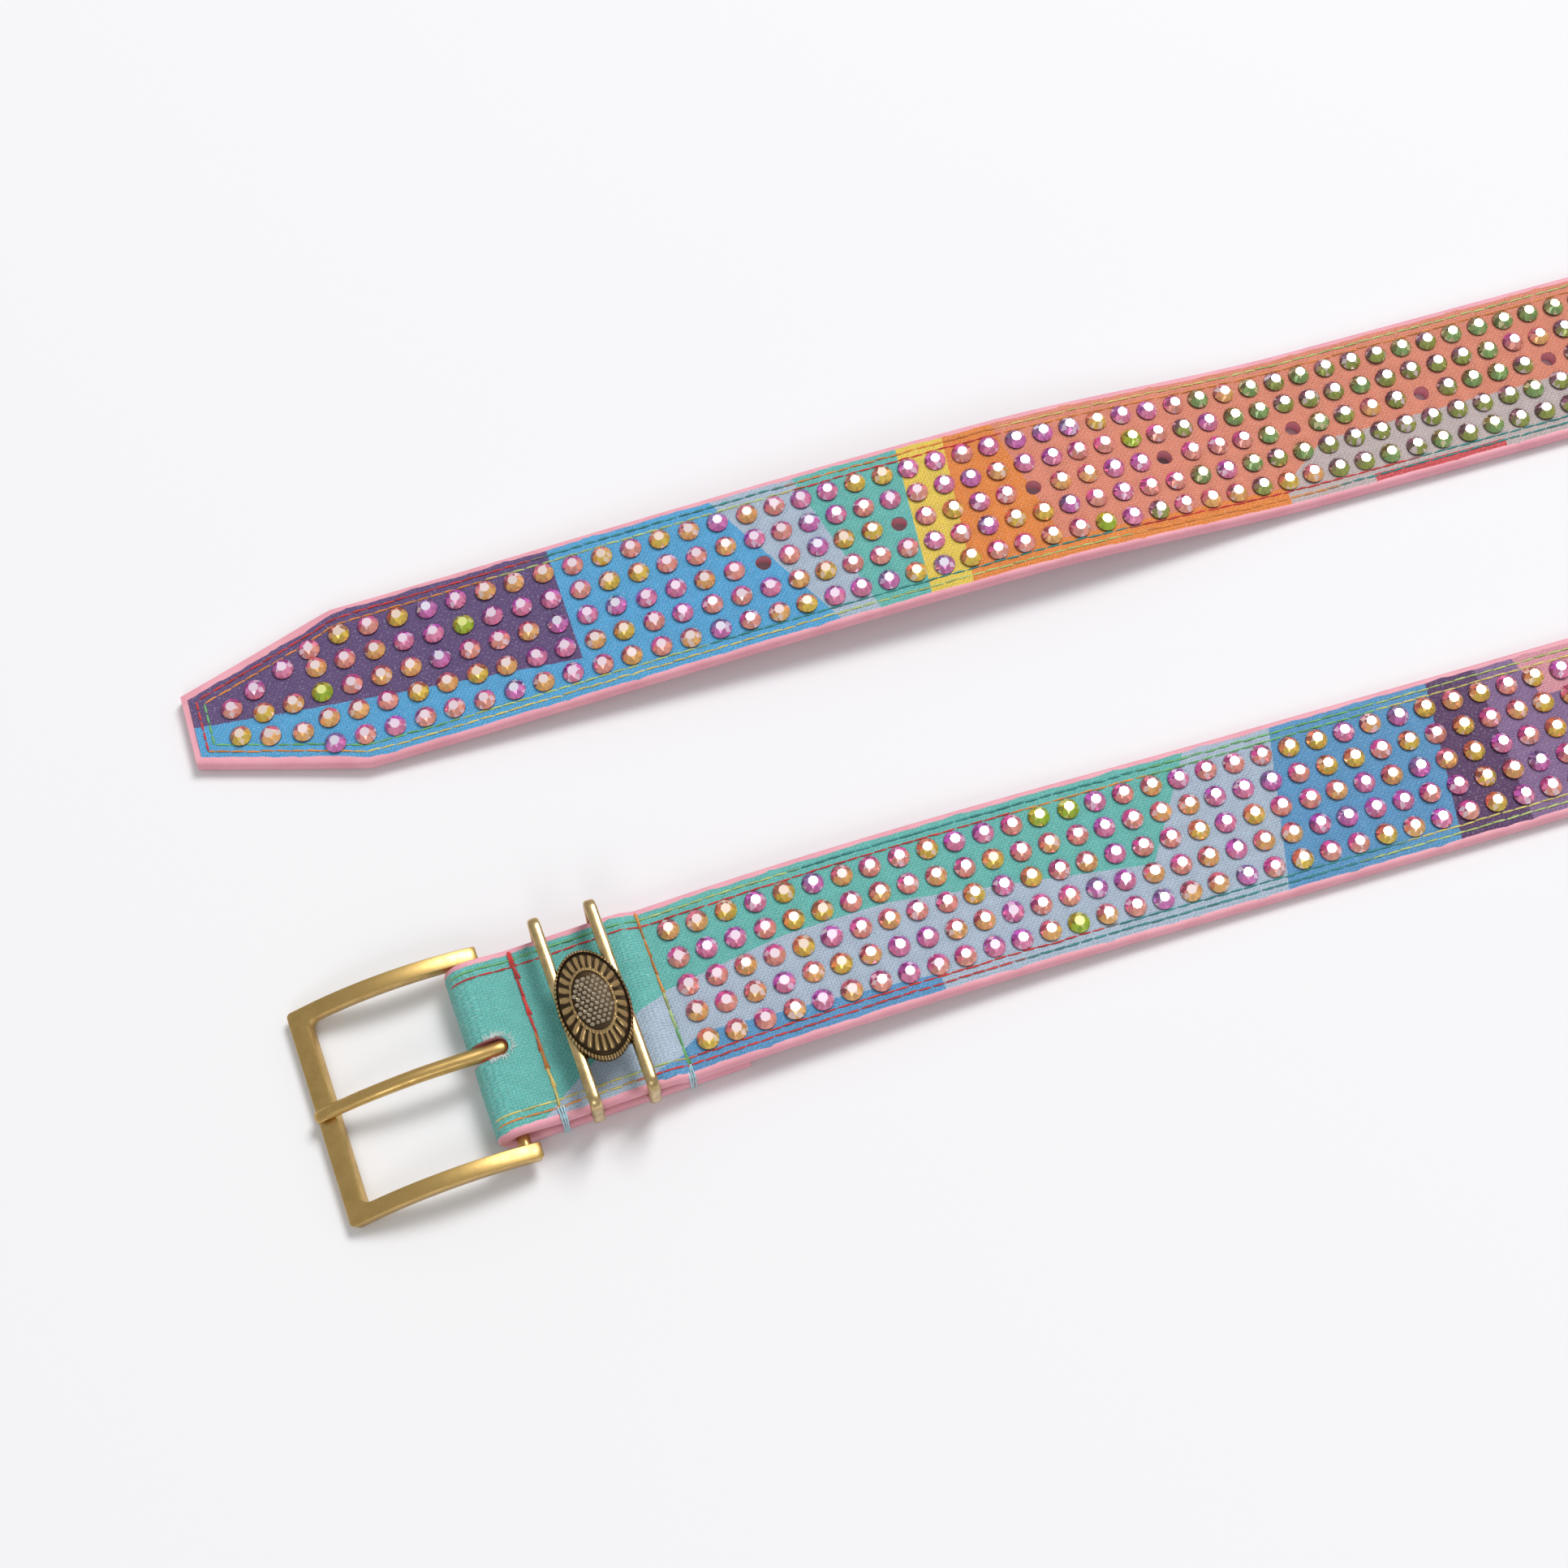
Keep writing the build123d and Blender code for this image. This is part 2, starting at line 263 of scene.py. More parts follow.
# ---------------------------------------------------------------- node helpers
class Nodes:
    """A small wrapper round a material's node tree."""

    def __init__(self, name):
        self.material = bpy.data.materials.new(name)
        self.material.use_nodes = True
        self.tree = self.material.node_tree
        self.shader = self.tree.nodes["Principled BSDF"]

    def node(self, kind, **values):
        node = self.tree.nodes.new(kind)
        for key, value in values.items():
            setattr(node, key, value)
        return node

    def link(self, source, target):
        self.tree.links.new(source, target)

    def put(self, socket, value):
        if hasattr(value, "is_output"):
            self.link(value, socket)
        else:
            socket.default_value = value

    def math(self, operation, a, b=0.0, c=0.0, clamp=False):
        node = self.node("ShaderNodeMath", operation=operation, use_clamp=clamp)
        for socket, value in zip(node.inputs, (a, b, c)):
            self.put(socket, value)
        return node.outputs[0]

    def attribute(self, name, output="Fac"):
        return self.node("ShaderNodeAttribute", attribute_name=name).outputs[output]

    def vector(self, x, y, z=0.0):
        node = self.node("ShaderNodeCombineXYZ")
        for socket, value in zip(node.inputs, (x, y, z)):
            self.put(socket, value)
        return node.outputs[0]

    def noise(self, vector, scale, detail=2.0, roughness=0.5):
        node = self.node("ShaderNodeTexNoise")
        self.put(node.inputs["Vector"], vector)
        node.inputs["Scale"].default_value = scale
        node.inputs["Detail"].default_value = detail
        node.inputs["Roughness"].default_value = roughness
        return node.outputs["Fac"]

    def object_place(self):
        """Object coordinates in millimetres."""
        coordinates = self.node("ShaderNodeTexCoord").outputs["Object"]
        mapping = self.node("ShaderNodeMapping")
        self.link(coordinates, mapping.inputs["Vector"])
        mapping.inputs["Scale"].default_value = (1 / MM, 1 / MM, 1 / MM)
        return mapping.outputs[0]

    def spread(self, value, low, high, to_low, to_high):
        node = self.node("ShaderNodeMapRange", interpolation_type="SMOOTHSTEP")
        for socket, item in zip(node.inputs, (value, low, high, to_low, to_high)):
            self.put(socket, item)
        return node.outputs[0]

    def mix(self, factor, a, b, blend="MIX"):
        node = self.node("ShaderNodeMix", data_type="RGBA", blend_type=blend)
        self.put(node.inputs["Factor"], factor)
        for socket, value in ((node.inputs[6], a), (node.inputs[7], b)):
            if isinstance(value, tuple):
                value = (*value, 1.0)
            self.put(socket, value)
        return node.outputs[2]

    def bump(self, height, strength, distance):
        node = self.node("ShaderNodeBump")
        self.put(node.inputs["Height"], height)
        node.inputs["Strength"].default_value = strength
        node.inputs["Distance"].default_value = distance * MM
        self.link(node.outputs[0], self.shader.inputs["Normal"])

    def set(self, **values):
        for key, value in values.items():
            socket = self.shader.inputs[key.replace("_", " ")]
            if isinstance(value, tuple):
                value = (*value, 1.0)
            self.put(socket, value)
        return self.material


# ---------------------------------------------------------------- colours of the print
teal = (0.145, 0.50, 0.455)
lilac = (0.43, 0.53, 0.65)
blue = (0.10, 0.395, 0.70)
deep_blue = (0.115, 0.325, 0.58)
purple = (0.13, 0.08, 0.205)
dark_purple = (0.12, 0.06, 0.15)
violet = (0.26, 0.16, 0.315)
yellow = (0.84, 0.62, 0.10)
orange = (0.82, 0.26, 0.06)
coral = (0.76, 0.265, 0.175)
grey = (0.56, 0.47, 0.46)
red = (0.66, 0.09, 0.10)
pink = (0.72, 0.32, 0.38)
edge_pink = (0.82, 0.37, 0.44)


def print_blocks(m, along, across, cloth):
    """The printed colour blocks: each block starts at a straight, often slanted, line."""
    wander = m.noise(cloth, 1.1, 3.0)
    edge = m.math("MULTIPLY_ADD", wander, 0.5, -0.25)
    back = m.math("SUBTRACT", strap_length, along)

    def starts(value, place, slant=0.0):
        """1 past the line value = place + slant * across, with a slightly ragged edge."""
        line = m.math("MULTIPLY_ADD", across, slant, place)
        past = m.math("ADD", m.math("SUBTRACT", value, line), edge)
        return m.spread(past, -0.12, 0.12, 0.0, 1.0)

    def both(a, b):
        return m.math("MULTIPLY", a, b)

    def beyond(value, place, slope=0.0, distance=along):
        line = m.math("MULTIPLY_ADD", distance, slope, place)
        past = m.math("ADD", m.math("SUBTRACT", value, line), edge)
        return m.spread(past, -0.12, 0.12, 0.0, 1.0)

    minus_across = m.math("MULTIPLY", across, -1.0)

    def under(place, slope=0.0):
        """1 where across is less than place + slope * along."""
        return beyond(minus_across, -place, -slope)

    start = both(starts(along, 36.0, 1.7), starts(along, 36.0, 8.0))
    patch = both(start, both(under(3.7), under(16.5, -0.144)))
    colour = m.mix(patch, teal, lilac)
    strip = both(beyond(minus_across, 7.9, 0.073), starts(along, 63.1, 1.95))
    colour = m.mix(strip, colour, deep_blue)
    field = m.mix(both(under(3.7), under(16.5, -0.144)), teal, lilac)
    colour = m.mix(starts(along, 94.0), colour, field)
    colour = m.mix(starts(along, 149.5, 0.65), colour, lilac)
    colour = m.mix(starts(along, 177.0, 0.25), colour, deep_blue)
    colour = m.mix(starts(along, 215.4, 0.17), colour, dark_purple)
    colour = m.mix(starts(along, 229.5, 0.03), colour, violet)
    corner = both(starts(along, 244.5, -0.3), beyond(across, 8.0))
    colour = m.mix(corner, colour, pink)

    # The hidden middle and the tip end, named by the distance back from the tip
    middle = [(395, pink), (455, violet), (510, teal), (560, lilac), (620, orange), (668, coral)]
    for distance, tone in middle:
        colour = m.mix(starts(along, float(distance), 0.5), colour, tone)
    near_tip = [
        (194.9, 0.2, orange), (177.5, -0.122, yellow), (167.1, -0.087, teal),
        (148.9, 0.26, lilac), (134.6, 0.54, blue), (87.2, 0.03, purple),
    ]
    slanted_start = beyond(across, 189.8, -0.7, back)
    wedge = both(both(slanted_start, beyond(across, 4.8)), m.math("LESS_THAN", back, 400.0))
    colour = m.mix(wedge, colour, grey)
    streak = both(m.math("GREATER_THAN", back, 272.6), m.math("LESS_THAN", back, 304.6))
    colour = m.mix(both(streak, beyond(across, 16.5)), colour, red)
    for distance, slant, tone in near_tip:
        line = m.math("MULTIPLY_ADD", across, slant, distance)
        short = m.math("ADD", m.math("SUBTRACT", line, back), edge)
        colour = m.mix(m.spread(short, -0.12, 0.12, 0.0, 1.0), colour, tone)
    orange_span = both(m.math("GREATER_THAN", back, 192.6), m.math("LESS_THAN", back, 251.6))
    colour = m.mix(both(orange_span, beyond(across, 14.1)), colour, orange)
    blue_band = both(beyond(across, -0.2, 0.115, back), m.math("LESS_THAN", back, 90.6))
    return m.mix(blue_band, colour, blue)


def printed_canvas():
    """Coarse canvas carrying the print, with its weave, fuzz, small pale fibres and painted shade in the
    weave's hollows.
    """
    m = Nodes("printed_canvas")
    along = m.attribute("along")
    across = m.attribute("across")
    cloth = m.vector(along, across)
    colour = print_blocks(m, along, across, cloth)
    weft = 0.62
    u = m.math("MULTIPLY", along, math.pi / weft)
    v = m.math("MULTIPLY", across, math.pi / weft)
    checker = m.node("ShaderNodeTexChecker")
    squares = m.vector(m.math("DIVIDE", along, weft), m.math("DIVIDE", across, weft))
    m.link(squares, checker.inputs["Vector"])
    checker.inputs["Scale"].default_value = 1.0
    warp_rise = m.math("POWER", m.math("ABSOLUTE", m.math("SINE", u)), 0.7)
    weft_rise = m.math("POWER", m.math("ABSOLUTE", m.math("SINE", v)), 0.7)
    picked = m.math("MULTIPLY", checker.outputs["Fac"], m.math("SUBTRACT", warp_rise, weft_rise))
    weave = m.math("ADD", picked, weft_rise)
    fuzz = m.noise(cloth, 3.4, 4.0, 0.7)
    blotch = m.noise(cloth, 0.35, 2.0)
    height = m.math("ADD", m.math("MULTIPLY", weave, 0.6), m.math("MULTIPLY", fuzz, 0.9))
    # Painted shade: the weave's low places are darker in the colour as well as in the bump; the fuzz and
    # blotch are random tone.
    shade = m.math("ADD", m.spread(weave, 0.1, 0.9, 0.84, 1.04), m.spread(fuzz, 0.3, 0.7, -0.24, 0.24))
    shade = m.math("ADD", shade, m.spread(blotch, 0.3, 0.7, -0.05, 0.05))
    grain = m.vector(shade, shade, shade)
    colour = m.mix(1.0, colour, grain, "MULTIPLY")
    flecks = m.spread(m.noise(cloth, 1.9, 4.0, 0.85), 0.54, 0.70, 0.0, 0.50)
    colour = m.mix(flecks, colour, (0.80, 0.84, 0.86))
    m.bump(height, 0.75, 0.28)
    return m.set(
        Base_Color=colour, Roughness=0.86,
        Sheen_Weight=0.25, Sheen_Roughness=0.45, Specular_IOR_Level=0.25,
    )


def pink_leather():
    m = Nodes("pink_leather")
    place_3d = m.object_place()
    grain = m.noise(place_3d, 2.6, 5.0, 0.6)
    soft = m.noise(place_3d, 0.12, 3.0)
    tone = m.mix(m.spread(soft, 0.3, 0.7, 0.0, 1.0), edge_pink, (0.74, 0.30, 0.37))
    tone = m.mix(m.spread(grain, 0.35, 0.75, 0.0, 0.35), tone, (0.86, 0.47, 0.53))
    m.bump(grain, 0.30, 0.10)
    return m.set(
        Base_Color=tone, Roughness=m.spread(grain, 0.3, 0.7, 0.42, 0.6),
        Specular_IOR_Level=0.4,
    )


def brass(name, light, dark, roughness, brushed, grime=0.35):
    """Gold-toned metal: fine lines along the piece, darker where handling hasn't polished it."""
    m = Nodes(name)
    place_3d = m.object_place()
    drawn_out = m.math("MULTIPLY", m.attribute("along"), 0.18)
    lines = m.noise(m.vector(drawn_out, m.attribute("across")), 6.0, 4.0, 0.7)
    cloud = m.noise(place_3d, 0.30, 4.0, 0.6)
    specks = m.noise(place_3d, 2.2, 3.0, 0.7)
    tone = m.mix(m.spread(cloud, 0.35, 0.68, 0.0, grime), light, dark)
    tone = m.mix(m.spread(lines, 0.35, 0.65, 0.0, 0.28 * brushed), tone, dark)
    cloudy = m.spread(cloud, 0.3, 0.7, roughness, roughness + 0.12)
    rough = m.math("ADD", cloudy, m.spread(lines, 0.3, 0.7, -0.05, 0.07))
    height = m.math("ADD", m.math("MULTIPLY", lines, brushed), m.math("MULTIPLY", specks, 0.4))
    m.bump(height, 0.25, 0.06)
    return m.set(Base_Color=tone, Roughness=rough, Metallic=1.0)


def crystal():
    """Foiled glass: the tint of each facet, a painted reflection by which way it faces, is carried by the
    mesh, under a clear bright surface.
    """
    m = Nodes("crystal")
    tint = m.attribute("tint", "Color")
    return m.set(
        Base_Color=tint,
        Metallic=0.35, Roughness=0.22, Coat_Weight=0.8, Coat_Roughness=0.06, Coat_IOR=1.56,
    )


def thread_material():
    m = Nodes("variegated_thread")
    tint = m.attribute("tint", "Color")
    fibres = m.noise(m.object_place(), 5.0, 3.0, 0.7)
    shade = m.spread(fibres, 0.3, 0.7, 0.72, 1.15)
    tone = m.mix(1.0, tint, m.vector(shade, shade, shade), "MULTIPLY")
    m.bump(fibres, 0.4, 0.08)
    return m.set(Base_Color=tone, Roughness=0.55, Sheen_Weight=0.3, Specular_IOR_Level=0.4)


def fibre_material():
    m = Nodes("frayed_fibres")
    shade = m.noise(m.object_place(), 1.5, 2.0)
    return m.set(
        Base_Color=m.mix(shade, (0.80, 0.82, 0.80), (0.92, 0.93, 0.92)), Roughness=0.8,
        Sheen_Weight=0.5,
    )


def marcasite():
    m = Nodes("marcasite")
    place_3d = m.object_place()
    tone = m.mix(m.noise(place_3d, 1.3, 2.0), (0.30, 0.24, 0.17), (0.75, 0.66, 0.50))
    return m.set(Base_Color=tone, Roughness=0.18, Metallic=0.9)


def antique_brass():
    """Dark casting, bright where it stands proud: the mesh says how high each point is."""
    m = Nodes("antique_brass")
    place_3d = m.object_place()
    proud = m.attribute("proud")
    cloud = m.noise(place_3d, 1.4, 4.0, 0.6)
    bright = m.spread(m.math("ADD", proud, m.math("MULTIPLY", cloud, 0.35)), 0.55, 1.0, 0.0, 1.0)
    tone = m.mix(bright, (0.060, 0.040, 0.022), (0.56, 0.38, 0.17))
    m.bump(cloud, 0.25, 0.10)
    return m.set(Base_Color=tone, Roughness=m.spread(bright, 0.0, 1.0, 0.5, 0.27), Metallic=1.0)


# ---------------------------------------------------------------- the strap's layers
def strap_rings(profile, steps, half):
    """Points of a cross-section profile(half width) at every station."""
    rings, tags = [], []
    for s, h in zip(steps, half):
        centre, across, out = place(s)
        section = np.array(profile(h, s))
        rings.append(centre + np.outer(section[:, 0], across) + np.outer(section[:, 1], out))
        tags.append(np.column_stack([np.full(len(section), s), section[:, 0]]))
    return np.array(rings), np.concatenate(tags)


def cutters():
    """Solids that cut the adjustment holes and the prong's slot."""
    made = []
    angles = np.linspace(0, 2 * math.pi, 32, endpoint=False)
    for i, back in enumerate(hole_backs):
        x, y, _ = route(strap_length - back)
        radius = hole_radius * (1 + 0.03 * np.sin(3 * angles + i))
        ring = np.column_stack([x + radius * np.cos(angles), y + radius * np.sin(angles)])
        rings = [np.column_stack([ring, np.full(32, z)]) for z in (-5.0, 30.0)]
        made.append(loft(f"cutter_{i}", rings))
    end = slot_end_x - slot_width / 2
    left = bar_x - 12
    arc = np.linspace(-math.pi / 2, math.pi / 2, 17)
    outline_xy = [(left, buckle_y - slot_width / 2)]
    outline_xy += [(end + slot_width / 2 * math.cos(a), buckle_y + slot_width / 2 * math.sin(a)) for a in arc]
    outline_xy += [(left, buckle_y + slot_width / 2)]
    rings = [[(x, y, z) for x, y in outline_xy] for z in (-5.0, 30.0)]
    made.append(loft("cutter_slot", rings))
    return made


def cut(piece, tools, tags):
    """Cuts the tools out of the piece, and gives every point its distances along and across again."""
    before = np.array([v.co for v in piece.data.vertices])
    for tool in tools:
        modifier = piece.modifiers.new("cut", "BOOLEAN")
        modifier.object = tool
        modifier.operation = "DIFFERENCE"
        modifier.solver = "EXACT"
    depsgraph = bpy.context.evaluated_depsgraph_get()
    mesh = bpy.data.meshes.new_from_object(piece.evaluated_get(depsgraph))
    piece.modifiers.clear()
    piece.data = mesh
    tree = KDTree(len(before))
    for i, co in enumerate(before):
        tree.insert(co, i)
    tree.balance()
    found = [tree.find(v.co)[1] for v in mesh.vertices]
    set_float(piece, "along", tags[found, 0])
    set_float(piece, "across", tags[found, 1])
    return piece


def leather_profile(h, s):
    """The lining, the painted rounded edges and the shallow bed that the canvas lies in."""
    inset = 1.3 + 0.8 * ramp(s, shoulder - 6, shoulder + 8)
    side = [
        (0.95, 0.04), (0.45, 0.22), (0.13, 0.6), (0.0, 1.15),
        (0.0, 1.9), (0.10, 2.5), (0.38, 2.98), (0.8, 3.22),
    ]
    right = [(h - x, n) for x, n in side]
    left = [(-h + x, n) for x, n in reversed(side)]
    bed = [(h - inset, 3.20), (h - inset - 0.5, 3.0), (0, 3.0), (-h + inset + 0.5, 3.0), (-h + inset, 3.20)]
    return [(0, 0)] + right + bed + left


def canvas_half(h, s):
    """Half width of the canvas, further in along the tip's taper."""
    inset = 1.05 + 0.85 * ramp(s, shoulder - 6, shoulder + 8)
    return h - inset


def canvas_profile(h, s):
    w = canvas_half(h, s)
    columns = 37
    ragged = noise.uniform(-0.28, 0.12)
    ts = np.linspace(-1, 1, columns)
    points = []
    for u in ts:
        t = u * (w + ragged * (abs(u) > 0.99))
        from_edge = h - abs(t)
        pucker = -0.10 * math.exp(-((from_edge - 3.25) / 1.3) ** 2) * (0.6 + 0.4 * math.sin(s * 2.05))
        wave = 0.05 * math.sin(s * 0.33 + t * 0.2) + 0.03 * math.sin(s * 0.9 - t * 0.5)
        rounded = -0.22 * (abs(u) > 0.99)
        points.append((t, thickness + 0.05 + pucker + wave + rounded))
    return points + [(w - 0.3, 3.02), (-w + 0.3, 3.02)]


def strap_layer(name, profile, steps, tools):
    """A layer with this cross-section, with the holes and the slot cut out of it."""
    rings, tags = strap_rings(profile, steps, [outline(s) for s in steps])
    piece = loft(name, rings)
    cut(piece, tools, tags)
    by_angle(piece, 50)
    return piece


def make_strap():
    tools = cutters()
    leather = pink_leather()
    canvas = printed_canvas()
    body = strap_layer("leather_lining_and_edge", leather_profile, stations(2.5), tools)
    finish_piece(body, "strap", leather, "pink_leather", "strap_lining", "strap_core")
    face = strap_layer("canvas_face", canvas_profile, stations(1.15, high=strap_length - 1.4), tools)
    finish_piece(face, "strap", canvas, "printed_canvas", "strap_face")
    for tool in tools:
        bpy.data.objects.remove(tool)


# ---------------------------------------------------------------- stones
def stone_mesh():
    """A flat-back stone: octagonal table, star and kite facets, lower facets and a thin rim."""
    table_r, table_n = 1.12, stone_height
    mid_r, mid_n = 1.78, 1.42
    rim_r, rim_n = stone_radius + 0.06, 0.50
    points = [(table_r * math.cos(a), table_r * math.sin(a), table_n) for a in octagon(0)]
    points += [(mid_r * math.cos(a), mid_r * math.sin(a), mid_n) for a in octagon(0.5)]
    rim = [math.pi / 8 * j for j in range(16)]
    points += [(rim_r * math.cos(a), rim_r * math.sin(a), rim_n) for a in rim]
    points += [(rim_r * math.cos(a), rim_r * math.sin(a), 0.0) for a in rim]
    faces = [tuple(range(8))]
    kinds = ["table"]
    for k in range(8):
        after = (k + 1) % 8
        before = (k - 1) % 8
        faces.append((k, 8 + k, after))
        kinds.append("star")
        faces.append((k, 8 + before, 16 + 2 * k, 8 + k))
        kinds.append("kite")
        faces.append((8 + k, 16 + 2 * k, 16 + 2 * k + 1))
        faces.append((8 + k, 16 + 2 * k + 1, 16 + (2 * k + 2) % 16))
        kinds += ["lower", "lower"]
    for j in range(16):
        after = (j + 1) % 16
        faces.append((16 + j, 32 + j, 32 + after, 16 + after))
        kinds.append("rim")
    faces.append(tuple(32 + j for j in reversed(range(16))))
    kinds.append("rim")
    return np.array(points), faces, kinds


def octagon(turn):
    return [math.pi / 4 * (k + turn) for k in range(8)]


# Painted reflections of a stone: the colour of facets towards the far edge, towards the near edge, and the
# flat table's painted highlight
palettes = {
    "rose": ((0.72, 0.08, 0.34), (0.88, 0.36, 0.28), (1.0, 0.80, 0.88)),
    "orchid": ((0.50, 0.07, 0.45), (0.82, 0.26, 0.44), (1.0, 0.80, 0.95)),
    "violet": ((0.24, 0.12, 0.36), (0.70, 0.20, 0.52), (0.90, 0.84, 0.98)),
    "peach": ((0.66, 0.12, 0.20), (0.90, 0.48, 0.16), (1.0, 0.82, 0.80)),
    "gold": ((0.70, 0.16, 0.10), (0.80, 0.56, 0.08), (1.0, 0.80, 0.66)),
    "lime": ((0.46, 0.38, 0.02), (0.40, 0.58, 0.03), (0.86, 0.90, 0.30)),
    "olive": ((0.26, 0.09, 0.15), (0.34, 0.40, 0.08), (0.95, 0.76, 0.86)),
    "moss": ((0.24, 0.16, 0.06), (0.26, 0.44, 0.14), (0.98, 0.84, 0.50)),
}


def facet_tint(kind, normal, palette, dice):
    """Painted reflection on a facet: its colour by which way it faces, and by how much light that facet
    happens to catch.
    """
    upper, lower, table = (np.array(tone) for tone in palettes[palette])
    # The rim is painted shade, a dark edge round the stone; the table is a painted highlight.
    if kind == "rim":
        return upper * 0.16
    if kind == "table":
        return table * (0.86 + 0.14 * dice[0])
    far = normal[1] * 0.95 - normal[0] * 0.30
    share = min(max(0.5 + 1.6 * far, 0.0), 1.0)
    swing = 0.45 + 1.15 * dice[1] ** 1.5 if share > 0.5 else 0.78 + 0.42 * dice[1]
    tint = (lower * (1 - share) + upper * share) * swing
    # One facet in ten gets a painted glint in the table's highlight colour.
    if dice[2] > 0.90:
        tint = tint * 0.3 + table * 0.7
    return np.clip(tint, 0, 1)


def column_backs():
    """Distance back from the tip of every column: wider before the holes, plain on the buckle's run."""
    reach = hole_backs[0] - first_regular_back
    near = [first_regular_back + reach * k / columns_before_holes for k in range(columns_before_holes)]
    holes_run = [hole_backs[0] + pitch * k for k in range(columns_past_holes)]
    buckle_start = strap_length - first_column
    buckle_side = [buckle_start - buckle_side_pitch * k for k in range(buckle_side_columns)]
    gap = buckle_side[-1] - holes_run[-1]
    hidden_count = round(gap / hidden_pitch)
    hidden = [holes_run[-1] + gap * k / hidden_count for k in range(1, hidden_count)]
    return near + holes_run + hidden + buckle_side[::-1]


def stone_places():
    """Distance along, offset across and row of every stone."""
    hole_columns = [columns_before_holes + 5 * i for i in range(7)]
    places = []
    for k, back in enumerate(column_backs()):
        for row in range(5):
            at_hole = row == 2 and k in hole_columns
            at_shoulder = row == 0 and k == 0
            if not at_hole and not at_shoulder:
                places.append((strap_length - back, (row - 2) * nominal_pitch, row))
    pattern = [
        (0, 30.0, -10.9), (0, 23.4, -8.0), (0, 16.3, -5.2), (0, 10.3, -2.1),
        (2, 23.6, 0.6), (2, 16.8, 0.9),
        (4, 24.1, 8.0), (4, 17.1, 6.8), (4, 10.6, 5.0),
    ]
    return places + [(strap_length - back, offset, row) for row, back, offset in pattern]


def stone_palette(s, dice):
    """Mostly pinks and golds, turning olive in the coral length beyond the holes' start."""
    back = strap_length - s
    olive_share = ramp(back, 205, 275) * 0.92 if back < 430 else 0.0
    if dice < olive_share:
        return "olive" if dice < olive_share * 0.68 else "moss"
    pick = (dice - olive_share) / (1 - olive_share + 1e-6)
    names = ("rose", "orchid", "peach", "gold", "violet", "lime")
    limits = (0.28, 0.50, 0.74, 0.88, 0.965, 1.01)
    return next(name for name, limit in zip(names, limits) if pick < limit)


def make_stones():
    shape, shape_faces, kinds = stone_mesh()
    material = crystal()
    rows = {row: ([], [], []) for row in range(5)}
    for s, t, row in stone_places():
        s += noise.normal(0, 0.07)
        t += noise.normal(0, 0.09)
        centre, across, out = place(s)
        along = np.cross(across, out)
        tip, turn, lean = noise.normal(0, 0.03), noise.uniform(0, 2 * math.pi), noise.normal(0, 0.03)
        normal = out + along * tip + across * lean
        normal /= np.linalg.norm(normal)
        u = along * math.cos(turn) + across * math.sin(turn)
        u -= normal * (u @ normal)
        u /= np.linalg.norm(u)
        v = np.cross(normal, u)
        seat = centre + across * t + out * (thickness + 0.02)
        points = seat + shape[:, :1] * u + shape[:, 1:2] * v + shape[:, 2:] * normal
        store, faces, tints = rows[row]
        start = sum(len(p) for p in store)
        palette = stone_palette(s, noise.uniform())
        for face, kind in zip(shape_faces, kinds):
            corner = points[list(face)]
            facing = np.cross(corner[1] - corner[0], corner[2] - corner[0])
            facing /= np.linalg.norm(facing) + 1e-9
            local = np.array([facing @ along, facing @ across, facing @ normal])
            if s > turn_start + turn_length / 2:
                local[:2] *= -1
            tint = facet_tint(kind, local, palette, noise.uniform(size=3))
            faces.append(tuple(start + i for i in face))
            tints.append(tint)
        store.append(points)
    for row, (store, faces, tints) in rows.items():
        piece = make_object(f"stones_row_{row + 1}", np.concatenate(store), faces, smooth=False)
        set_colour(piece, "tint", spread_to_corners(piece, tints), "CORNER")
        nodes = [f"stone_row_{row + 1}"] + (["tip_stones"] if row == 0 else [])
        finish_piece(piece, "strap", material, "crystal", *nodes)


def spread_to_corners(piece, tints):
    values = np.zeros((len(piece.data.loops), 3))
    for polygon, tint in zip(piece.data.polygons, tints):
        values[polygon.loop_start:polygon.loop_start + polygon.loop_total] = tint
    return values


# ---------------------------------------------------------------- thread
thread_tones = {
    "red": (0.62, 0.035, 0.03), "orange": (0.78, 0.28, 0.05), "yellow": (0.72, 0.60, 0.18),
    "green": (0.16, 0.48, 0.16), "lime": (0.50, 0.62, 0.20), "teal": (0.03, 0.26, 0.25),
    "pale": (0.55, 0.70, 0.66), "blue": (0.42, 0.66, 0.74), "black": (0.03, 0.03, 0.03),
}


def tone_at(sequence, s):
    """Thread colour at s along a sequence of (distance, tone name), blended over a few millimetres."""
    current = np.array(thread_tones[sequence[0][1]])
    for start, name in sequence[1:]:
        share = ramp(s, start - 4, start + 4)
        current = current * (1 - share) + np.array(thread_tones[name]) * share
    return current


class Tubes:
    """Many short tubes gathered in one mesh."""

    def __init__(self):
        self.points, self.faces, self.tints, self.count = [], [], [], 0

    def add(self, centres, sideways, up, widths, heights, tint, sides=8, twist=0.0, lobes=0.0):
        rings = len(centres)
        angles = np.arange(sides) * 2 * math.pi / sides
        block = []
        for i in range(rings):
            swell = 1 + lobes * np.cos(2 * (angles - twist * i / max(rings - 1, 1)))
            across = np.outer(np.cos(angles) * swell * widths[i] / 2, sideways[i])
            rise = np.outer(np.sin(angles) * swell * heights[i] / 2, up[i])
            block.append(centres[i] + across + rise)
        self.points.append(np.concatenate(block))
        self.faces += ring_faces(rings, sides, start=self.count)
        self.tints.append(np.tile(tint, (rings * sides, 1)))
        self.count += rings * sides

    def build(self, name):
        piece = make_object(name, np.concatenate(self.points), self.faces)
        set_colour(piece, "tint", np.concatenate(self.tints))
        return piece


